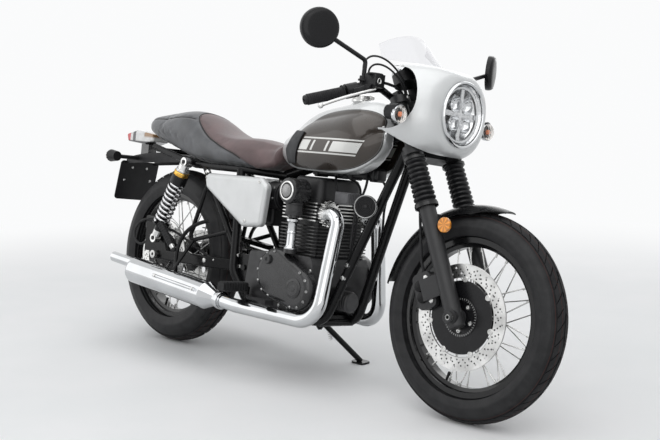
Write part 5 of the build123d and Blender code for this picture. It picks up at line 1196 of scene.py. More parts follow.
class RACER_OT_headlight(bpy.types.Operator):
    """Model the headlight: rim, reflector, lamp cells and lens"""

    bl_idname = "racer.headlight"
    bl_label = "Headlight"

    def execute(self, context):
        self.bucket()
        place = STEERED @ LAMP
        rim = spun(mm((95.5, -20), (103, -20), (103.6, -2), (103, 3.5), (100, 6.2), (96.5, 5), (94.5, 1.5),
                      (93.8, -8), (95.5, -20)), 72)
        keep(put(rim, place), "headlight_rim", "steering", "chrome", "chrome", angle=60)
        bowl = spun(mm((93.5, -4), (91.5, -7), (85, -20), (76, -32), (60, -42), (30, -48), (0, -49), (0, -54),
                       (64, -52), (85, -40), (94, -20), (93.5, -4)), 64)
        keep(put(bowl, place), "headlight_bowl", "steering", "chrome", "lamp_bowl", angle=30)
        self.cells(place)
        dome, turns = [], 14
        for i in range(turns + 1):
            radius = 0.0938 * (1 - i / turns)
            dome.append((radius, 0.012 * (1 - (radius / 0.0938) ** 2)))
        inner = [(radius, height - 0.003) for radius, height in reversed(dome)]
        lens = spun(dome + inner + dome[:1], 64)
        glass = clear_glass("headlight_glass", place).material
        keep(put(lens, place), "headlight_lens", "steering", "lamp_glass", glass, angle=60)
        return {"FINISHED"}

    def bucket(self):
        """The lamp's shell and stays, opened where the lens sits."""
        shell = smooth_copy("headlight", "headlight_shell")
        opened(shell)
        bpy.ops.object.mode_set(mode="OBJECT")
        upright = (STEERED @ LAMP).inverted()
        for face in shell.data.polygons:
            spot = upright @ face.center
            face.select = spot.z > -0.0015 and math.hypot(spot.x, spot.y) < 0.0945
        bpy.ops.object.mode_set(mode="EDIT")
        bpy.ops.mesh.select_mode(type="FACE")
        bpy.ops.mesh.delete(type="FACE")
        let_go()
        keep(shell, "headlight_shell", "steering", "chrome", "black_paint",
             angle=35, stands_for=("headlight",))

    def cells(self, place):
        """Lamp cells: a cross of bright bars, cup reflectors in the quarters and a ring round them."""
        parts = []
        for turn in (0, math.pi / 2):
            let_go()
            bpy.ops.mesh.primitive_cube_add(size=1.0)
            bar = bpy.context.object
            bpy.ops.transform.resize(value=(0.16, 0.017, 0.022))
            bpy.ops.object.transform_apply(location=True, rotation=True, scale=True)
            bpy.ops.object.mode_set(mode="EDIT")
            bpy.ops.mesh.subdivide(number_cuts=4)
            bpy.ops.mesh.select_all(action="SELECT")
            bpy.ops.mesh.bevel(offset=0.0022, segments=2, affect="EDGES")
            let_go()
            parts.append(put(bar, Matrix.Translation((0, 0, -0.024)) @ Matrix.Rotation(turn, 4, "Z")))
        cup = mm((26.5, -6), (25.5, -5.5), (22.5, -16), (14, -26), (7.5, -29), (7, -21), (4.5, -18.5),
                 (0, -18), (0, -34), (16, -32), (24.5, -20), (26.5, -6))
        spots = [(0.0405 * math.cos(a), 0.0405 * math.sin(a)) for a in (math.pi / 4 * k for k in (1, 3, 5, 7))]
        parts.append(copies(spun(cup, 28), [Matrix.Translation((x, y, -0.006)) for x, y in spots]))
        parts.append(spun(mm((80, -12), (86, -10), (87, -18), (80, -20), (80, -12)), 64))
        centre = spun(mm((0, -12), (9, -13), (13, -18), (14, -34), (0, -34)), 24)
        parts.append(centre)
        cells = put(joined(*parts), place)
        keep(cells, "headlight_cells", "steering", "chrome", "chrome", angle=35)


class RACER_OT_screen(bpy.types.Operator):
    """Model the clear windscreen"""

    bl_idname = "racer.screen"
    bl_label = "Windscreen And Cowl"

    def execute(self, context):
        screen = smooth_copy("windscreen", "windscreen_bubble")
        glass = screen_acrylic("screen_acrylic", STEERED).material
        keep(screen, "windscreen_bubble", "steering", "clear_screen", glass, angle=60, stands_for=("windscreen",))
        return {"FINISHED"}


class RACER_OT_lamps(bpy.types.Operator):
    """Model the signal lenses, with the front signals' rims, dishes and bulbs"""

    bl_idname = "racer.lamps"
    bl_label = "Signals And Reflectors"

    def execute(self, context):
        fronts = [STEERED @ facing((1.262, side * 0.224, 0.897), (1, 0, 0)) for side in (-1, 1)]
        rim = spun(mm((26.2, -6), (27.8, -4), (28.4, 4), (28, 9.5), (26.6, 10), (26, 7), (26.2, -6)), 40)
        fitted(rim, fronts, "front_signal_rims", "steering", "chrome", "chrome")
        dish = spun(mm((26.2, 9), (22, 5), (14, 2.2), (0, 1.4), (0, 0.6), (26.2, 0.6)), 40)
        fitted(dish, fronts, "front_signal_dishes", "steering", "chrome", "lamp_bowl")
        bulb = spun(mm((0, 1), (7, 1), (7.8, 4.5), (8.6, 8), (7, 12), (3.5, 14), (0, 14.6)), 24)
        fitted(bulb, fronts, "front_signal_bulbs", "steering", "reflector_amber", "amber_bulb", 60)
        lens = mm((26.2, 8.5), (26.8, 10), (25.8, 13.5), (20.5, 18), (12, 20.5), (0, 21.2), (0, 19.2),
                  (11.8, 18.5), (20, 16), (24.5, 12), (26.2, 8.5))
        front = copies(spun(lens, 40), fronts)
        keep(front, "front_signal_lenses", "steering", "lamp_glass", "signal_lens", angle=50)
        rears = [BIKE @ facing((-0.29, side * 0.178, 0.69), (-1, 0, 0)) for side in (-1, 1)]
        small = mm((20, -3), (21.4, -1), (21.4, 4), (18.5, 8), (11, 11), (0, 11.8), (0, -3), (20, -3))
        rear = copies(spun(small, 36), rears)
        keep(rear, "rear_signal_lenses", "chassis", "lamp_glass", "signal_lens", angle=50)
        return {"FINISHED"}


# Handlebar: where the right and left grips start and end
GRIP_IN = Vector((1.09, 0.265, 0.956))
GRIP_OUT = Vector((1.037, 0.385, 0.911))
MIRROR_CENTRE = Vector((1.1, 0.432, 1.12))
MIRROR_WAY = Vector((math.cos(math.radians(28)), math.sin(math.radians(28)), 0))


def other_side(spot):
    """The same spot on the bike's other side."""
    return Vector((spot[0], -spot[1], spot[2]))


def both_sides(spot, way):
    """Places on both sides of the bike, looking one way from a spot on its left."""
    return [facing(spot, way), facing(other_side(spot), other_side(way))]


class RACER_OT_bar(bpy.types.Operator):
    """Model the grips, the mirrors' glass and rims, and the handlebar's fittings"""

    bl_idname = "racer.bar"
    bl_label = "Handlebar"

    def execute(self, context):
        self.grips()
        self.levers()
        self.mirrors()
        return {"FINISHED"}

    def grips(self):
        """Moulded grips: an inner flange, rings of ribs and a rounded end with a steel plug."""
        length, ring = 0.122, 0.0061
        profile = [(0.0112, 0.0), (0.0215, 0.0), (0.0222, 0.0015), (0.0215, 0.0035), (0.0172, 0.0045)]
        height = 0.01
        while height < length - 0.01:
            profile += [(0.016, height), (0.0172, height + 0.0012), (0.0172, height + ring - 0.0012),
                        (0.016, height + ring - 0.0004)]
            height += ring
        profile += [(0.0172, length - 0.006), (0.0172, length - 0.002), (0.0155, length), (0.0112, length)]
        way = (GRIP_OUT - GRIP_IN).normalized()
        places = [STEERED @ place for place in both_sides(GRIP_IN + way * 0.02, way)]
        rubber = copies(spun(profile, 32), places)
        keep(rubber, "grip_rubbers", "steering", "rubber", "rubber", angle=40, stands_for=("grips",))
        plug = spun(mm((10, -6), (14.8, -0.5), (15.2, 4), (14, 7.5), (9, 9.5), (8.5, 8), (4.5, 8), (4.5, 5.5),
                       (0, 5.5)), 28)
        ends = [STEERED @ place for place in both_sides(GRIP_IN + way * 0.1425, way)]
        keep(copies(plug, ends), "bar_end_plugs", "steering", "black_plastic", "black_plastic", angle=35)

    def levers(self):
        """Switches and perches cut off where the levers leave them, and polished levers with ball ends."""
        switches = smooth_copy("bar_controls", "bar_switches")
        for side in (1, -1):
            way = (GRIP_OUT - GRIP_IN).normalized() * Vector((1, side, 1))
            start = GRIP_IN * Vector((1, side, 1)) + way * 0.012
            opened(switches)
            bpy.ops.mesh.select_all(action="SELECT")
            turned = STEERED.to_3x3() @ way
            bpy.ops.mesh.bisect(plane_co=STEERED @ start, plane_no=turned, use_fill=True, clear_outer=True)
            let_go()
        keep(switches, "bar_switches", "steering", "black_plastic", "black_plastic",
             angle=35, stands_for=("bar_controls",))
        run = [(1.166, 0.232, 0.968), (1.16, 0.258, 0.958), (1.148, 0.292, 0.944), (1.132, 0.328, 0.928),
               (1.114, 0.366, 0.909), (1.101, 0.392, 0.894)]
        parts = []
        for spots in (run, [other_side(spot) for spot in run]):
            parts.append(tube(spots, 0.0052, 3))
            let_go()
            bpy.ops.mesh.primitive_uv_sphere_add(segments=20, ring_count=12, radius=0.0085, location=spots[-1])
            parts.append(put(bpy.context.object, Matrix.Translation(spots[-1])))
        keep(put(joined(*parts), STEERED), "brake_clutch_levers", "steering", "polished_alloy",
             "polished_alloy", angle=50)

    def mirrors(self):
        """Round mirrors: glossy domed backs with a rolled rim and a glass set inside."""
        back = spun(mm((57.5, 0), (60, 1.2), (60.4, 4.5), (60, 12), (57.5, 19), (52, 22.8), (40, 24.8),
                       (20, 25.8), (0, 26.2)), 56)
        modified(back, "SOLIDIFY", thickness=0.0022, offset=-1.0)
        spot = MIRROR_CENTRE - MIRROR_WAY * 0.011
        places = [STEERED @ place for place in both_sides(spot, MIRROR_WAY)]
        shells = copies(back, places)
        keep(shells, "mirror_backs", "steering", "black_plastic", "mirror_gloss", angle=50)
        glass = spun(mm((0, 1.2), (56, 1.6), (57.8, 3), (57.8, 4.2), (0, 4.2)), 56)
        keep(copies(glass, places), "mirror_glasses", "steering", "chrome", "mirror_glass", angle=40)


# Instruments on the upper clamp: faces square to the steering axis
GAUGES = [FORK @ Matrix.Translation((0.066, side * 0.05, 0.804)) for side in (-1, 1)]


class RACER_OT_instruments(bpy.types.Operator):
    """Model the two dials with their rims, ticks and needles"""

    bl_idname = "racer.instruments"
    bl_label = "Instruments"

    def execute(self, context):
        places = [STEERED @ place for place in GAUGES]
        rim = spun(mm((38.5, -4), (44.5, -6), (45.5, 0), (44, 4.5), (41, 5.5), (39, 3), (38.5, -4)), 48)
        keep(copies(rim, places), "gauge_rims", "steering", "chrome", "chrome", angle=50)
        face = spun(mm((0, 0.6), (39, 0.6), (39, 0.2), (0, 0.2)), 48)
        keep(copies(face, places), "gauge_faces", "steering", "black_plastic", "dial_black", angle=30)
        self.pointers(places)
        lens = spun(mm((0, 5.2), (20, 4.9), (38.8, 3.8), (38.8, 2.2), (20, 3.3), (0, 3.6)), 48)
        keep(copies(lens, places), "gauge_lenses", "steering", "lamp_glass", "gauge_glass", angle=50)
        return {"FINISHED"}

    def pointers(self, places):
        """Scale ticks, a needle and its boss on each dial."""
        parts = []
        for step in range(31):
            turn = math.radians(225 - step * 9)
            long = step % 5 == 0
            let_go()
            bpy.ops.mesh.primitive_cube_add(size=1.0)
            tick = bpy.context.object
            bpy.ops.transform.resize(value=(0.0068 if long else 0.0038, 0.0012 if long else 0.0007, 0.0004))
            bpy.ops.object.transform_apply(location=True, rotation=True, scale=True)
            reach = 0.0332 if long else 0.0347
            parts.append(put(tick, Matrix.Rotation(turn, 4, "Z") @ Matrix.Translation((reach, 0, 0.0008))))
        let_go()
        bpy.ops.mesh.primitive_cube_add(size=1.0)
        needle = bpy.context.object
        bpy.ops.transform.resize(value=(0.036, 0.0014, 0.0006))
        bpy.ops.object.transform_apply(location=True, rotation=True, scale=True)
        parts.append(put(needle, Matrix.Rotation(math.radians(218), 4, "Z") @ Matrix.Translation((0.012, 0, 0.0016))))
        parts.append(spun(mm((0, 0.4), (4.5, 0.4), (4.5, 2), (3, 2.6), (0, 2.6)), 16))
        marks = copies(joined(*parts), places)
        keep(marks, "gauge_needles", "steering", "reflector_amber", "dial_white", angle=30)


TREES = {}


def seated(node, body, spots):
    """Places on a solid's surface nearest to spots of the upright bike, looking out of it."""
    if node not in TREES:
        mesh = frame["nodes"][node].data
        points = [point.co for point in mesh.vertices]
        TREES[node] = BVHTree.FromPolygons(points, [tuple(face.vertices) for face in mesh.polygons])
    places = []
    for spot in spots:
        found, normal, _, _ = TREES[node].find_nearest(STANCES[body] @ Vector(spot))
        places.append(facing(found, normal))
    return places


def fitted(master, places, name, body, slot, kind, angle=35):
    """Copies of one fitting at finished places, kept as one piece."""
    return keep(copies(master, places), name, body, slot, kind, angle=angle)


def mirrored(spots):
    """Spots on one side and their mirror images on the other."""
    return [Vector(spot) for spot in spots] + [other_side(spot) for spot in spots]


class RACER_OT_cowl(bpy.types.Operator):
    """Paint the cowl silver outside and black inside, and set its screws and the screen's"""

    bl_idname = "racer.cowl"
    bl_label = "Cowl"

    def execute(self, context):
        shell = smooth_copy("cowl", "cowl_shell")
        for side in (-1, 1):
            let_go()
            bpy.ops.mesh.primitive_cylinder_add(vertices=96, radius=0.098, depth=0.16)
            cutter = put(bpy.context.object, STEERED @ facing((1.18, side * 0.18, 0.955), (0, side, 0)))
            modified(shell, "BOOLEAN", operation="DIFFERENCE", object=cutter, solver="EXACT")
            bpy.data.objects.remove(cutter)
        give_finish(shell, finish("silver_paint", "steering"), finish("inner_black", "steering"))
        upright = STEERED.inverted()
        turn = upright.to_3x3()
        for face in shell.data.polygons:
            spot, normal = upright @ face.center, turn @ face.normal
            outward = Vector((0.25 * (spot.x - 1.15), spot.y, spot.z - LAMP_Z))
            face.material_index = 1 if normal.dot(outward) < 0 else 0
        keep(shell, "cowl_shell", "steering", "silver_paint", angle=32, stands_for=("cowl",))
        screws = [(1.17, 0.17, 0.868), (1.262, 0.15, 0.84), (1.205, 0.186, 0.925)]
        screws += [(1.182, 0.137, 1.056), (1.262, 0.112, 1.044), (1.312, 0.045, 1.036)]
        screws = mirrored(screws) + [Vector((1.3, 0, 0.8))]
        fitted(bolt_head(0.0046, 0.0028), seated("cowl", "steering", screws), "cowl_screws", "steering", "steel",
               "steel")
        return {"FINISHED"}


class RACER_OT_engine(bpy.types.Operator):
    """Model the engine covers' screws and caps, the bevel tower's sleeve and the drum's cap"""

    bl_idname = "racer.engine"
    bl_label = "Engine"

    def execute(self, context):
        self.screws()
        self.caps()
        self.tower()
        return {"FINISHED"}

    def rim(self, x, z, radius, first, last, count, y):
        """Spots round part of a cover's rim, by angles in degrees."""
        turns = [math.radians(first + (last - first) * i / (count - 1)) for i in range(count)]
        return [Vector((x + radius * math.cos(a), y, z + radius * math.sin(a))) for a in turns]

    def screws(self):
        """Socket screws round both covers and along the crankcase's foot."""
        right = self.rim(0.728, 0.352, 0.077, 88, 262, 7, -0.172) + self.rim(0.842, 0.314, 0.063, -100, 68, 6, -0.172)
        left = self.rim(0.8, 0.34, 0.09, -84, 86, 7, 0.176) + self.rim(0.65, 0.338, 0.053, 96, 264, 5, 0.176)
        places = seated("engine_covers", "chassis", right + left)
        fitted(bolt_head(0.0052, 0.0045), places, "cover_screws", "chassis", "steel", "dark_steel")
        foot = mirrored([(0.6 + 0.045 * i, 0.133, 0.246) for i in range(6)]
                        + [(0.88, 0.133, 0.3), (0.874, 0.133, 0.38)])
        fitted(hex_head(0.0058, 0.005), seated("crankcase", "chassis", foot), "crankcase_bolts", "chassis", "steel",
               "steel")

    def caps(self):
        """Raised round caps on the covers: oil filler, timing cap and inspection plugs."""
        cap = spun(mm((34, -6), (34, 1.5), (31.5, 4), (24, 5.2), (22.5, 3.8), (11, 3.8), (9.5, 5.2), (0, 5.6)), 40)
        spots = [(0.842, -0.172, 0.318), (0.8, 0.176, 0.34)]
        fitted(cap, [BIKE @ facing(s, (0, math.copysign(1, s[1]), 0)) for s in spots], "cover_caps", "chassis",
               "engine_black", "cover_black")
        plug = spun(mm((16, -4), (16, 6), (14.5, 8.5), (6, 8.5), (5.5, 6), (0, 6)), 24)
        spots = [(0.705, -0.172, 0.398), (0.65, 0.176, 0.338)]
        fitted(plug, [BIKE @ facing(s, (0, math.copysign(1, s[1]), 0)) for s in spots], "filler_plugs", "chassis",
               "engine_black", "engine_black")
        ribs = [spun(mm((35.5, 0), (35.5, 2.8), (34.2, 4), (33, 2.8), (33, 0), (35.5, 0)), 40)]
        ribs = copies(ribs[0], [BIKE @ facing((0.905 + 0.011 * i, 0, 0.286), (1, 0, 0)) for i in range(4)])
        keep(ribs, "filter_ribs", "chassis", "engine_black", "engine_black", angle=35)

    def tower(self):
        """The bevel tower's plated sleeve, and the cap with its bright ring on the drum."""
        sleeve = spun(mm((14.5, 441), (21.5, 441), (22, 447), (18, 451), (15.5, 458), (15.2, 494),
                         (16.6, 496), (16.6, 501), (15.2, 503), (15.2, 528), (17, 532), (21, 535),
                         (21.2, 543), (17, 546), (14.5, 547), (14.5, 441)), 40)
        keep(put(sleeve, BIKE @ Matrix.Translation((0.792, -0.1573, 0))), "tower_sleeve", "chassis", "chrome",
             "chrome", angle=30)
        collar = spun(mm((27, 556), (30, 557), (30.5, 566), (28.2, 569), (28, 590), (30, 592), (30, 597),
                         (27.5, 600), (27, 556)), 40)
        keep(put(collar, BIKE @ Matrix.Translation((0.792, -0.1573, 0))), "tower_collar", "chassis", "engine_black",
             "engine_black", angle=30)
        face = BIKE @ facing((0.792, -0.1883, 0.636), (0, -1, 0))
        cap = spun(mm((42.5, -18), (43.2, 0.5), (41.5, 6), (36.5, 9.5), (32.5, 10), (31, 8.5), (25.5, 8),
                      (23, 11), (13, 15), (0, 16.2)), 48)
        keep(put(cap, face), "drum_cap", "chassis", "engine_black", "cover_black", angle=32)
        dome = spun(mm((21.5, 11.8), (21, 13.6), (13, 17.2), (0, 18.4)), 40)
        keep(put(dome, face), "drum_dome", "chassis", "polished_alloy", "dark_steel", angle=40)
        ring = spun(mm((31.8, 7), (32.2, 10.4), (30.5, 12), (27, 11.8), (25.8, 9.8), (25.8, 7), (31.8, 7)), 48)
        keep(put(ring, face), "drum_ring", "chassis", "polished_alloy", "polished_alloy", angle=40)


WHEELS = {
    # body: axle, hub node, disc's outer face y, bobbin circle, bobbins, hub bolt circle
    "front_wheel": (FRONT_AXLE, "front_hub", -0.0666, 0.114, 7, 0.04),
    "rear_wheel": (REAR_AXLE, "rear_hub", -0.0906, 0.089, 5, 0.044),
}


class RACER_OT_wheels(bpy.types.Operator):
    """Model the spoke nipples, the brake discs' bobbins and bolts, and the tyre valves"""

    bl_idname = "racer.wheels"
    bl_label = "Wheels"

    def execute(self, context):
        for body, (axle, hub, face, circle, count, bolts) in WHEELS.items():
            self.nipples(body, axle, hub)
            turns = [2 * math.pi * i / count for i in range(count)]
            lugs = [axle + Vector((-circle * math.sin(a), face, circle * math.cos(a))) for a in turns]
            button = spun(mm((9.2, -1), (9.2, 1.6), (8.2, 2.6), (5, 2.6), (4.6, 1.2), (0, 1.2)), 20)
            places = [STANCES[body] @ facing(spot, (0, -1, 0)) for spot in lugs]
            fitted(button, places, body + "_bobbins", body, "steel", "steel")
            turns = [2 * math.pi * (i + 0.5) / 5 for i in range(5)]
            spots = [axle + Vector((-bolts * math.sin(a), face, bolts * math.cos(a))) for a in turns]
            places = [STANCES[body] @ facing(spot, (0, -1, 0)) for spot in spots]
            fitted(bolt_head(0.0076, 0.0062), places, body + "_disc_bolts", body, "steel", "steel")
            self.painted_hole_shade(body, axle, face, circle + 0.0115)
            self.slotted_ring(body, axle, face)
            self.valve(body, axle)
        return {"FINISHED"}

    def nipples(self, body, axle, hub):
        """A nipple at each spoke's outer end."""
        stance = STANCES[body]
        upright = stance.inverted()
        spots = [upright @ point.co - axle for point in frame["nodes"][hub].data.vertices]
        reach = max(math.hypot(spot.x, spot.z) for spot in spots)
        ends = {}
        for spot in spots:
            if math.hypot(spot.x, spot.z) > reach - 0.004:
                key = (round(math.degrees(math.atan2(spot.z, spot.x)) / 2.5), spot.y > 0)
                ends.setdefault(key, []).append(spot)
        places = []
        for group in ends.values():
            middle = sum(group, Vector()) / len(group)
            inward = Vector((-middle.x, 0, -middle.z)).normalized()
            places.append(stance @ facing(axle + middle - inward * 0.001, inward))
        nipple = spun(mm((0, -4), (3.6, -4), (3.6, 4), (2.8, 5), (2.8, 12.5), (2.1, 14), (0, 14)), 8)
        fitted(nipple, places, body + "_nipples", body, "steel", "steel")

    def painted_hole_shade(self, body, axle, face, inner):
        """Dark discs in staggered rows on both faces of the brake ring: painted shade standing in for drill holes."""
        rim = spun(mm((2.7, 0), (2.4, 0.3), (1.9, 0.15), (0, 0.15)), 10)
        places = []
        for row, radius in enumerate((inner, inner + 0.0088, inner + 0.0176)):
            for i in range(36):
                turn = 2 * math.pi * (i + 0.33 * row + 0.2) / 36
                spot = axle + Vector((-radius * math.sin(turn), 0, radius * math.cos(turn)))
                places.append(STANCES[body] @ facing(spot + Vector((0, face + 0.0001, 0)), (0, -1, 0)))
                places.append(STANCES[body] @ facing(spot + Vector((0, face + 0.0051, 0)), (0, 1, 0)))
        # Painted shade: near-black discs where drill holes would show dark
        fitted(rim, places, body + "_drillings", body, "steel", "inner_black")

    def slotted_ring(self, body, axle, face):
        """A ring of small slots round the hub, and the rim that carries it."""
        place = STANCES[body] @ facing(axle + Vector((0, face, 0)), (0, -1, 0))
        rim = spun(mm((59, -1), (59, 2.2), (58, 3), (51, 3), (50, 2.2), (50, -1)), 56)
        keep(put(rim, place), body + "_sensor_ring", body, "black_paint", "rim_black", angle=35)
        tooth = rounded_box((0.0062, 0.0026, 0.002), 0.0006)
        turns = [2 * math.pi * i / 44 for i in range(44)]
        rows = [place @ Matrix.Rotation(turn, 4, "Z") @ Matrix.Translation((0.0545, 0, 0.0034)) for turn in turns]
        fitted(tooth, rows, body + "_sensor_teeth", body, "steel", "dark_steel")

    def valve(self, body, axle):
        """A tyre valve with its cap, standing in the rim."""
        stem = spun(mm((0, -4), (6.2, -4), (6.2, 4), (4.2, 6), (4.2, 20), (5.2, 21), (5.2, 30), (4, 32),
                       (0, 32)), 16)
        turn = math.radians(250)
        way = Vector((math.cos(turn), 0, math.sin(turn)))
        place = STANCES[body] @ facing(axle + way * 0.2215, -way)
        keep(put(stem, place), body + "_valve", body, "rubber", "rubber", angle=40)


class RACER_OT_mudguard(bpy.types.Operator):
    """Model the front mudguard with a tapered nose"""

    bl_idname = "racer.mudguard"
    bl_label = "Front Mudguard"

    def execute(self, context):
        guard = smooth_copy("front_mudguard", "front_guard")
        tip, back = math.radians(75), math.radians(96)
        for side in (-1, 1):
            nose = FRONT_AXLE + Vector((0.3405 * math.cos(tip), side * 0.026, 0.3405 * math.sin(tip)))
            edge = FRONT_AXLE + Vector((0.3085 * math.cos(back), side * 0.06, 0.3085 * math.sin(back)))
            radial = Vector((math.cos(tip), 0, math.sin(tip)))
            across = (edge - nose).cross(radial).normalized()
            if across.y * side < 0:
                across = -across
            opened(guard)
            bpy.ops.mesh.select_all(action="SELECT")
            bpy.ops.mesh.bisect(plane_co=STEERED @ nose, plane_no=STEERED.to_3x3() @ across, use_fill=True,
                                clear_outer=True)
            let_go()
        keep(guard, "front_guard", "steering", "black_paint", "black_paint", angle=40,
             stands_for=("front_mudguard",))
        return {"FINISHED"}


class RACER_OT_exhaust(bpy.types.Operator):
    """Model the mufflers' trim strips, clamps and end rings"""

    bl_idname = "racer.exhaust"
    bl_label = "Exhaust"

    def execute(self, context):
        front, rear = Vector((0.512, 0.19, 0.226)), Vector((-0.026, 0.205, 0.27))
        way = (rear - front).normalized()
        out = Vector((0, 1, 0)) - way * way.y
        out.normalize()
        lift = (out + way.cross(out) * -0.35).normalized()
        if lift.z < 0:
            lift = (out + way.cross(out) * 0.35).normalized()
        strips, bolts = [], []
        for side in (1, -1):
            turned = Vector if side > 0 else other_side
            run = [front + way * (0.105 + 0.245 * i / 12) + lift * 0.0512 for i in range(13)]
            strips.append(tube([turned(spot) for spot in run], 0.006, 4))
            bolts += [facing(turned(front + way * t + lift * 0.0568), turned(lift)) for t in (0.118, 0.338)]
        strip = put(joined(*strips), BIKE)
        keep(strip, "muffler_strips", "chassis", "chrome", "chrome", angle=50)
        fitted(hex_head(0.0062, 0.005), [BIKE @ place for place in bolts], "strip_bolts", "chassis", "steel", "steel")
        self.clamps(front, way)
        return {"FINISHED"}

    def clamps(self, front, way):
        """Band clamps where the pipes enter the mufflers, and rolled rings round the tail pipes."""
        band = spun(mm((28.5, 6), (31.2, 6), (31.8, 8.5), (31.8, 21.5), (31.2, 24), (28.5, 24), (28.5, 6)), 40)
        places = [BIKE @ place for place in both_sides(front, way)]
        fitted(band, places, "pipe_clamps", "chassis", "chrome", "chrome")
        length = (Vector((-0.026, 0.205, 0.27)) - front).length
        ring = spun(mm((25.8, 0), (33, -4), (34, 1), (30, 4.2), (26.2, 4), (25.8, 0)), 40)
        ends = [BIKE @ place for place in both_sides(front + way * (length - 0.0005), way)]
        fitted(ring, ends, "muffler_end_rings", "chassis", "chrome", "chrome")


class RACER_OT_fittings(bpy.types.Operator):
    """Model the horn's ring, bolts over the frame, intake straps, front brake fittings, control cables, the stand's
    spring and the bar's fittings
    """

    bl_idname = "racer.fittings"
    bl_label = "Fittings"

    def execute(self, context):
        self.horn()
        self.bolts()
        self.intake_straps()
        self.front_brake()
        self.cables()
        self.stand_spring()
        self.bar_fittings()
        return {"FINISHED"}

    def horn(self):
        """The horn's plated rim round a ridged black face."""
        way = Vector((0.5, -0.87, 0)).normalized()
        place = BIKE @ facing(Vector((1.062, -0.094, 0.612)) + way * 0.014, way)
        rim = spun(mm((34, -12), (37.2, -12), (37.8, -4), (37.4, 1.5), (35.6, 3.2), (33.8, 2.4), (33.4, 0),
                      (34, -12)), 48)
        keep(put(rim, place), "horn_rim", "chassis", "chrome", "dark_steel", angle=40)
        face = [(0.034, -0.001), (0.034, 0.0012)]
        for i in range(5):
            radius = 0.0315 - 0.005 * i
            face += [(radius, 0.0004), (radius - 0.001, 0.0026), (radius - 0.003, 0.0026), (radius - 0.004, 0.0004)]
        face += [(0.0075, 0.0004), (0.0068, 0.0052), (0.004, 0.0062), (0, 0.0062)]
        keep(put(spun(face, 40), place), "horn_face", "chassis", "black_plastic", "black_plastic", angle=30)

    def bolts(self):
        """Bright bolts on the frame, the plate bracket, the swingarm and the fork."""
        frame_spots = [(0.982, -0.08, 0.415), (0.973, -0.085, 0.371), (0.982, 0.08, 0.415), (0.973, 0.085, 0.371)]
        frame_spots += mirrored([(0.256, 0.112, 0.672), (0.48, 0.11, 0.346), (0.7, 0.096, 0.206),
                                 (0.47, 0.11, 0.385)])
        fitted(hex_head(0.0082, 0.007), seated("frame", "chassis", frame_spots), "frame_bolts", "chassis", "steel",
               "steel")
        plate = [(-0.352, y, 0.597) for y in (-0.0625, 0.0625)]
        plate += [(-0.345, y, 0.65) for y in (-0.035, 0.035)]
        fitted(bolt_head(0.0052, 0.003), seated("plate_bracket", "chassis", plate), "plate_bolts", "chassis",
               "steel", "steel")
        arm = mirrored([(-0.028, 0.125, 0.3325), (0.3, 0.125, 0.345)])
        fitted(hex_head(0.009, 0.008), seated("swingarm", "chassis", arm), "swingarm_bolts", "chassis", "steel",
               "steel")
        clamps = [FORK @ Vector((0.082, side * 0.0975, z)) for side in (-1, 1) for z in (0.533, 0.702)]
        fitted(bolt_head(0.006, 0.005), seated("fork_clamps", "steering", clamps), "clamp_bolts", "steering",
               "steel", "steel")
        covers = mirrored([(0.3, 0.156, 0.65), (0.6, 0.156, 0.652), (0.54, 0.156, 0.512)])
        fitted(bolt_head(0.0058, 0.003), seated("side_covers", "chassis", covers), "cover_fixings", "chassis",
               "steel", "steel")

    def intake_straps(self):
        """Straps with oval slots round the intake drums."""
        strap = spun(mm((48.2, 0), (51.2, 0), (51.8, 2), (51.8, 20), (51.2, 22), (48.2, 22), (48.2, 0)), 48)
        places = [BIKE @ facing((0.622, side * 0.066, 0.612), (1, 0, 0)) for side in (-1, 1)]
        fitted(strap, places, "intake_straps", "chassis", "black_plastic", "black_plastic")
        lug = bolt_head(0.0048, 0.005)
        spots = []
        for side in (-1, 1):
            for turn in (math.radians(-12), math.radians(28), math.radians(68)):
                out = Vector((0, side * math.cos(turn), math.sin(turn)))
                spots.append(BIKE @ facing(Vector((0.633, side * 0.066, 0.612)) + out * 0.0518, out))
        fitted(lug, spots, "strap_bolts", "chassis", "steel", "dark_steel")

    def front_brake(self):
        """Pistons' bosses and bridge bolts on the front caliper, the axle's caps and bands round the gaiters."""
        spots = [FORK @ Vector((x, -0.088, z)) for x, z in ((-0.02, 0.076), (-0.02, 0.148))]
        fitted(hex_head(0.0088, 0.007), [STEERED @ facing(s, (0, -1, 0)) for s in spots], "caliper_bolts", "steering",
               "steel", "steel")
        boss = spun(mm((17, -4), (17.5, 4), (16, 7), (9, 8.5), (0, 8.8)), 28)
        spots = [FORK @ Vector((-0.05, -0.088, z)) for z in (0.094, 0.13)]
        fitted(boss, [STEERED @ facing(s, (0, -1, 0)) for s in spots], "caliper_pistons", "steering", "black_paint",
               "black_paint")
        cap = spun(mm((8.5, -1), (17, -1), (17.5, 1.5), (16, 3), (10, 3), (8.5, 1.5), (8.5, -1)), 32)
        ends = [FRONT_AXLE + Vector((0, -0.1325, 0)), FRONT_AXLE + Vector((0, 0.124, 0))]
        ways = [(0, -1, 0), (0, 1, 0)]
        fitted(cap, [STEERED @ facing(s, w) for s, w in zip(ends, ways)], "axle_caps", "steering", "black_paint",
               "satin_black")
        rings = []
        for side in (-1, 1):
            for low, high in ((0.346, 0.358), (0.5, 0.51)):
                band = spun([(0.0352, low), (0.0368, low + 0.001), (0.0368, high - 0.001), (0.0352, high),
                             (0.029, high),
                             (0.029, low), (0.0352, low)], 36)
                rings.append(put(band, STEERED @ FORK @ Matrix.Translation((0.054, side * 0.0975, 0))))
        keep(joined(*rings), "gaiter_bands", "steering", "rubber", "rim_black", angle=40)

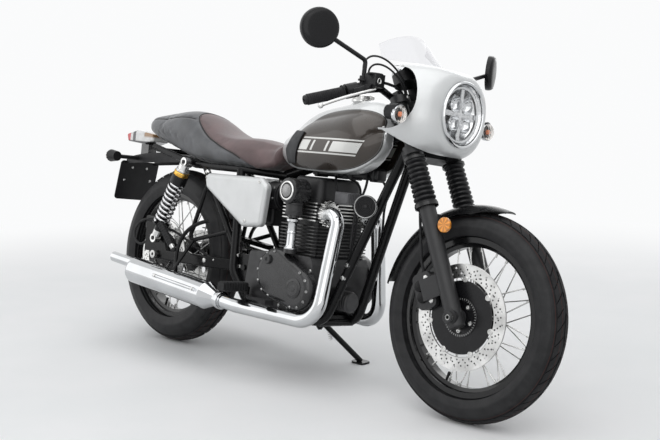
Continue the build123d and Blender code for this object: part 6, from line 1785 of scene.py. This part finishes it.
    def cables(self):
        """Throttle and clutch cables that loop from the bar into the cowl."""
        right = [(1.118, -0.205, 0.985), (1.1, -0.232, 1.02), (1.098, -0.222, 1.068), (1.112, -0.18, 1.082),
                 (1.14, -0.13, 1.062), (1.165, -0.095, 1.01), (1.17, -0.08, 0.96)]
        inner = [(1.122, -0.19, 0.985), (1.108, -0.212, 1.012), (1.106, -0.204, 1.046), (1.12, -0.168, 1.058),
                 (1.146, -0.122, 1.036), (1.166, -0.092, 0.99), (1.168, -0.08, 0.95)]
        left = [other_side(spot) for spot in right]
        runs = [tube(points, 0.0032) for points in (right, inner, left)]
        keep(put(joined(*runs), STEERED), "control_cables", "steering", "rubber", "rubber", angle=60)

    def stand_spring(self):
        """A return spring beside the side stand."""
        start, end = Vector((0.7, 0.128, 0.196)), Vector((0.716, 0.152, 0.118))
        way = end - start
        side = way.cross(Vector((1, 0, 0))).normalized()
        across = way.normalized().cross(side)
        turns, points = 12, []
        for i in range(turns * 8 + 1):
            a = 2 * math.pi * i / 8
            points.append(start + way * (i / (turns * 8)) + (side * math.cos(a) + across * math.sin(a)) * 0.0062)
        coil = tube(points, 0.0013, 1, smooth=False)
        keep(put(coil, BIKE), "stand_spring", "side_stand", "steel", "steel", angle=60)

    def bar_fittings(self):
        """Nuts at the mirrors' stems, and the reservoir's cap and sight glass."""
        foot = Vector((1.1165, 0.2367, 1.001))
        nut = hex_head(0.0125, 0.012)
        fitted(nut, [STEERED @ place for place in both_sides(foot, (0, 0, 1))], "stem_nuts", "steering",
               "black_plastic",
               "black_plastic")
        lid = spun(mm((0, 0), (25, 0), (25.5, 1.5), (24.5, 4.5), (15, 5.5), (0, 5.8)), 32)
        spot = Vector((1.1505, -0.2225, 1.013))
        keep(put(lid, STEERED @ facing(spot, (0, 0, 1))), "reservoir_lid", "steering", "black_plastic",
             "black_plastic", angle=35)
        glass = spun(mm((9, -1), (9.5, 1.5), (8, 2.6), (6.6, 1.6), (4, 1.2), (0, 1)), 28)
        keep(put(glass, STEERED @ facing((1.1735, -0.2265, 0.993), (1, 0, 0))), "sight_glass", "steering",
             "polished_alloy",
             "polished_alloy", angle=35)


# Chain: pitch, sprocket radii, the drive sprocket's centre and the outer plates' face
CHAIN_PITCH = 0.015875
SPROCKETS = [CHAIN_PITCH / (2 * math.sin(math.pi / teeth)) for teeth in (37, 15)]
DRIVE_CENTRE = (0.59, 0.345)
CHAIN_FACE = 0.0909


class RACER_OT_chain(bpy.types.Operator):
    """Model the chain's outer link plates and pin heads along its run"""

    bl_idname = "racer.chain"
    bl_label = "Chain"

    def execute(self, context):
        button = spun(mm((0, -0.4), (7.2, -0.4), (7.2, 0.9), (6.6, 1.3), (3, 1.3), (2.6, 2.4), (0, 2.6)), 14)
        ends = copies(button, [Matrix.Translation((x * CHAIN_PITCH / 2, 0, 0)) for x in (-1, 1)])
        link = joined(ends, put(rounded_box((CHAIN_PITCH, 0.0094, 0.0017), 0.0003),
                                Matrix.Translation((0, 0, 0.0004))))
        places = [BIKE @ place for place in self.run()]
        fitted(link, places, "chain_links", "chassis", "chain_steel", "steel")
        return {"FINISHED"}

    def run(self):
        """Places of every second link along the top run, round the sprocket and back."""
        large, small = SPROCKETS
        centre = Vector((REAR_AXLE.x, REAR_AXLE.z))
        spread = math.atan2(large - small, math.hypot(DRIVE_CENTRE[0], DRIVE_CENTRE[1] - centre.y))
        top = centre + large * Vector((math.cos(math.pi / 2 + spread), math.sin(math.pi / 2 + spread)))
        slope = Vector((math.cos(spread), -math.sin(spread)))
        straight = (0.52 - top.x) / slope.x
        places, along = [], 0.0
        sweep = math.pi - 2 * spread
        while along < 2 * straight + sweep * large:
            if along < straight:
                spot, way = top + slope * (straight - along), slope
            elif along < straight + sweep * large:
                turn = math.pi / 2 + spread + (along - straight) / large
                spot = centre + large * Vector((math.cos(turn), math.sin(turn)))
                way = Vector((math.sin(turn), -math.cos(turn)))
            else:
                low = Vector((top.x, 2 * centre.y - top.y))
                way = Vector((slope.x, -slope.y))
                spot = low + way * (along - straight - sweep * large)
            x_axis = Vector((way.x, 0, way.y))
            y_axis = Vector((0, 1, 0)).cross(x_axis)
            places.append(axes_matrix(x_axis, y_axis, Vector((0, 1, 0)), Vector((spot.x, CHAIN_FACE, spot.y))))
            along += 2 * CHAIN_PITCH
        return places


class RACER_OT_electrics(bpy.types.Operator):
    """Model the ignition coils under the tank, the regulator ahead of the head and their leads"""

    bl_idname = "racer.electrics"
    bl_label = "Electrics"

    def execute(self, context):
        coils = [put(rounded_box((0.15, 0.046, 0.04), 0.008), Matrix.Translation((x, 0, 0.716)))
                 for x in (0.79, 0.955)]
        coils += [put(rounded_box((0.018, 0.054, 0.048), 0.004), Matrix.Translation((x, 0, 0.716)))
                  for x in (0.74, 0.84, 0.905, 1.005)]
        keep(put(joined(*coils), BIKE), "ignition_coils", "chassis", "black_plastic", "black_plastic", angle=35)
        body = [put(rounded_box((0.062, 0.06, 0.034), 0.004), Matrix.Translation((0.934, -0.056, 0.629)))]
        body += [put(rounded_box((0.066, 0.003, 0.04), 0.001), Matrix.Translation((0.934, -0.08 + 0.008 * i, 0.629)))
                 for i in range(7)]
        keep(put(joined(*body), BIKE), "regulator", "chassis", "polished_alloy", "grey_cast", angle=35)
        leads = []
        for side in (-1, 1):
            leads.append([(0.84, side * 0.022, 0.7), (0.862, side * 0.052, 0.69), (0.884, side * 0.06, 0.664),
                          (0.886, side * 0.052, 0.632), (0.876, side * 0.048, 0.612)])
            leads.append([(0.985, side * 0.025, 0.712), (1.01, side * 0.046, 0.69), (1.006, side * 0.06, 0.64),
                          (0.985, side * 0.066, 0.6), (0.99, side * 0.072, 0.54), (0.985, side * 0.07, 0.47)])
        leads.append([(0.962, -0.056, 0.612), (0.985, -0.052, 0.58), (0.976, -0.04, 0.52), (0.95, -0.03, 0.45),
                      (0.93, -0.026, 0.4)])
        wires = put(joined(*[tube(points, 0.0042) for points in leads]), BIKE)
        keep(wires, "ignition_leads", "chassis", "rubber", "rubber", angle=60)
        boots = [facing((0.876, side * 0.048, 0.606), (0.35, 0, 1)) for side in (-1, 1)]
        boot = spun(mm((9.5, -20), (10, 0), (9, 14), (6.2, 20), (0, 20)), 20)
        fitted(boot, [BIKE @ place for place in boots], "plug_caps", "chassis", "rubber", "rubber")
        return {"FINISHED"}


class RACER_OT_rear(bpy.types.Operator):
    """Model the shocks' collars, the passenger pegs with their hangers, and the rear brake hose"""

    bl_idname = "racer.rear"
    bl_label = "Rear End"

    def execute(self, context):
        top, foot = Vector((0.166, 0.15, 0.694)), Vector((0.02, 0.15, 0.396))
        way = (foot - top).normalized()
        places = [BIKE @ place for place in both_sides(top, way)]
        profile = mm((18, 40), (26.5, 40), (28, 41.5), (28, 48), (26.2, 49), (26.2, 51), (28.5, 52),
                     (28.5, 64), (27, 65.5), (18, 65.5), (18, 40))
        fitted(spun(profile, 36), places, "preload_collars", "chassis", "polished_alloy", "gold")
        nut = mm((16, 30), (24, 30), (25.2, 31.5), (25.2, 38), (24, 39.5), (16, 39.5), (16, 30))
        fitted(spun(nut, 12), places, "preload_nuts", "chassis", "steel", "steel")
        self.pegs()
        loop = [(-0.04, -0.112, 0.452), (-0.075, -0.118, 0.466), (-0.125, -0.12, 0.452), (-0.17, -0.118, 0.412),
                (-0.16, -0.116, 0.366), (-0.112, -0.114, 0.352), (-0.05, -0.116, 0.396), (0.02, -0.118, 0.44),
                (0.11, -0.112, 0.43), (0.23, -0.108, 0.38), (0.33, -0.106, 0.352)]
        hose = put(tube(loop, 0.0048), BIKE)
        keep(hose, "rear_brake_hose", "chassis", "rubber", "rubber", angle=60)
        union = spun(mm((0, -8), (7.5, -8), (7.5, 6), (5.5, 10), (0, 10)), 12)
        ends = [facing(loop[0], Vector(loop[1]) - Vector(loop[0])),
                facing(loop[-1], Vector(loop[-2]) - Vector(loop[-1]))]
        fitted(union, [BIKE @ place for place in ends], "hose_unions", "chassis", "steel", "steel")
        return {"FINISHED"}

    def pegs(self):
        """Folded passenger pegs with ribbed rubbers, steel knuckles and tube hangers down to the mufflers."""
        low, high = Vector((0.166, 0.176, 0.38)), Vector((0.094, 0.186, 0.459))
        way = (high - low).normalized()
        length = (high - low).length
        profile = [(0, 0.006), (0.012, 0.006)]
        for i in range(9):
            height = 0.008 + (length - 0.014) * i / 9
            profile += [(0.0132, height), (0.0132, height + 0.0072), (0.0118, height + 0.008),
                        (0.0118, height + 0.01)]
        profile += [(0.0132, length - 0.005), (0.012, length), (0, length)]
        places = [BIKE @ place for place in both_sides(low, way)]
        fitted(spun(profile, 28), places, "passenger_pegs", "chassis", "rubber", "rubber")
        knuckle = spun(mm((0, -14), (7, -14), (8.5, -10), (10, 4), (10, 7.5), (0, 7.5)), 20)
        fitted(knuckle, places, "peg_knuckles", "chassis", "steel", "steel")
        run = [(0.3, 0.12, 0.49), (0.25, 0.14, 0.476), (0.208, 0.158, 0.436), (0.19, 0.168, 0.384),
               (0.196, 0.178, 0.334), (0.222, 0.19, 0.292)]
        hangers = [tube(points, 0.0072) for points in (run, [other_side(spot) for spot in run])]
        clevis = [put(rounded_box((0.03, 0.014, 0.024), 0.004), place)
                  for place in both_sides((0.178, 0.171, 0.37), (0, 1, 0))]
        keep(put(joined(*hangers, *clevis), BIKE), "peg_hangers", "chassis", "black_paint", "black_paint", angle=50)
        rib = rounded_box((0.037, 0.004, 0.033), 0.0015)
        rows = [BIKE @ Matrix.Translation((0.582, side * (0.172 + 0.0115 * i), 0.288)) for side in (-1, 1)
                for i in range(8)]
        fitted(rib, rows, "footpeg_ribs", "chassis", "rubber", "rubber")


class RACER_PT_looks(bpy.types.Panel):
    """Sidebar list of the bike's pieces"""

    bl_idname = "RACER_PT_looks"
    bl_label = "Cafe Racer"
    bl_space_type = "VIEW_3D"
    bl_region_type = "UI"
    bl_category = "Cafe Racer"

    def draw(self, context):
        layout = self.layout
        for group in (context.scene.racer_colours, context.scene.racer_sizes):
            for name in group.__annotations__:
                layout.prop(group, name)
        for operator in OPERATORS:
            layout.operator(operator.bl_idname)


OPERATORS = (
    RACER_OT_stage, RACER_OT_solids, RACER_OT_tyres, RACER_OT_tank, RACER_OT_seat, RACER_OT_headlight,
    RACER_OT_screen, RACER_OT_lamps, RACER_OT_bar, RACER_OT_instruments, RACER_OT_cowl, RACER_OT_engine,
    RACER_OT_wheels, RACER_OT_mudguard, RACER_OT_exhaust, RACER_OT_fittings, RACER_OT_chain, RACER_OT_electrics,
             RACER_OT_rear,
)
GROUPS = (RacerColours, RacerSizes)


def register():
    """Add the classes and the scene's settings."""
    for made in (*GROUPS, *OPERATORS, RACER_PT_looks):
        bpy.utils.register_class(made)
    bpy.types.Scene.racer_colours = PointerProperty(type=RacerColours)
    bpy.types.Scene.racer_sizes = PointerProperty(type=RacerSizes)


def unregister():
    """Take the classes and the scene's settings away."""
    del bpy.types.Scene.racer_sizes
    del bpy.types.Scene.racer_colours
    for made in reversed((*GROUPS, *OPERATORS, RACER_PT_looks)):
        bpy.utils.unregister_class(made)


def main():
    """Register the classes and model every piece in order."""
    register()
    for operator in OPERATORS:
        space, name = operator.bl_idname.split(".")
        getattr(getattr(bpy.ops, space), name)()


if __name__ == "__main__":
    main()
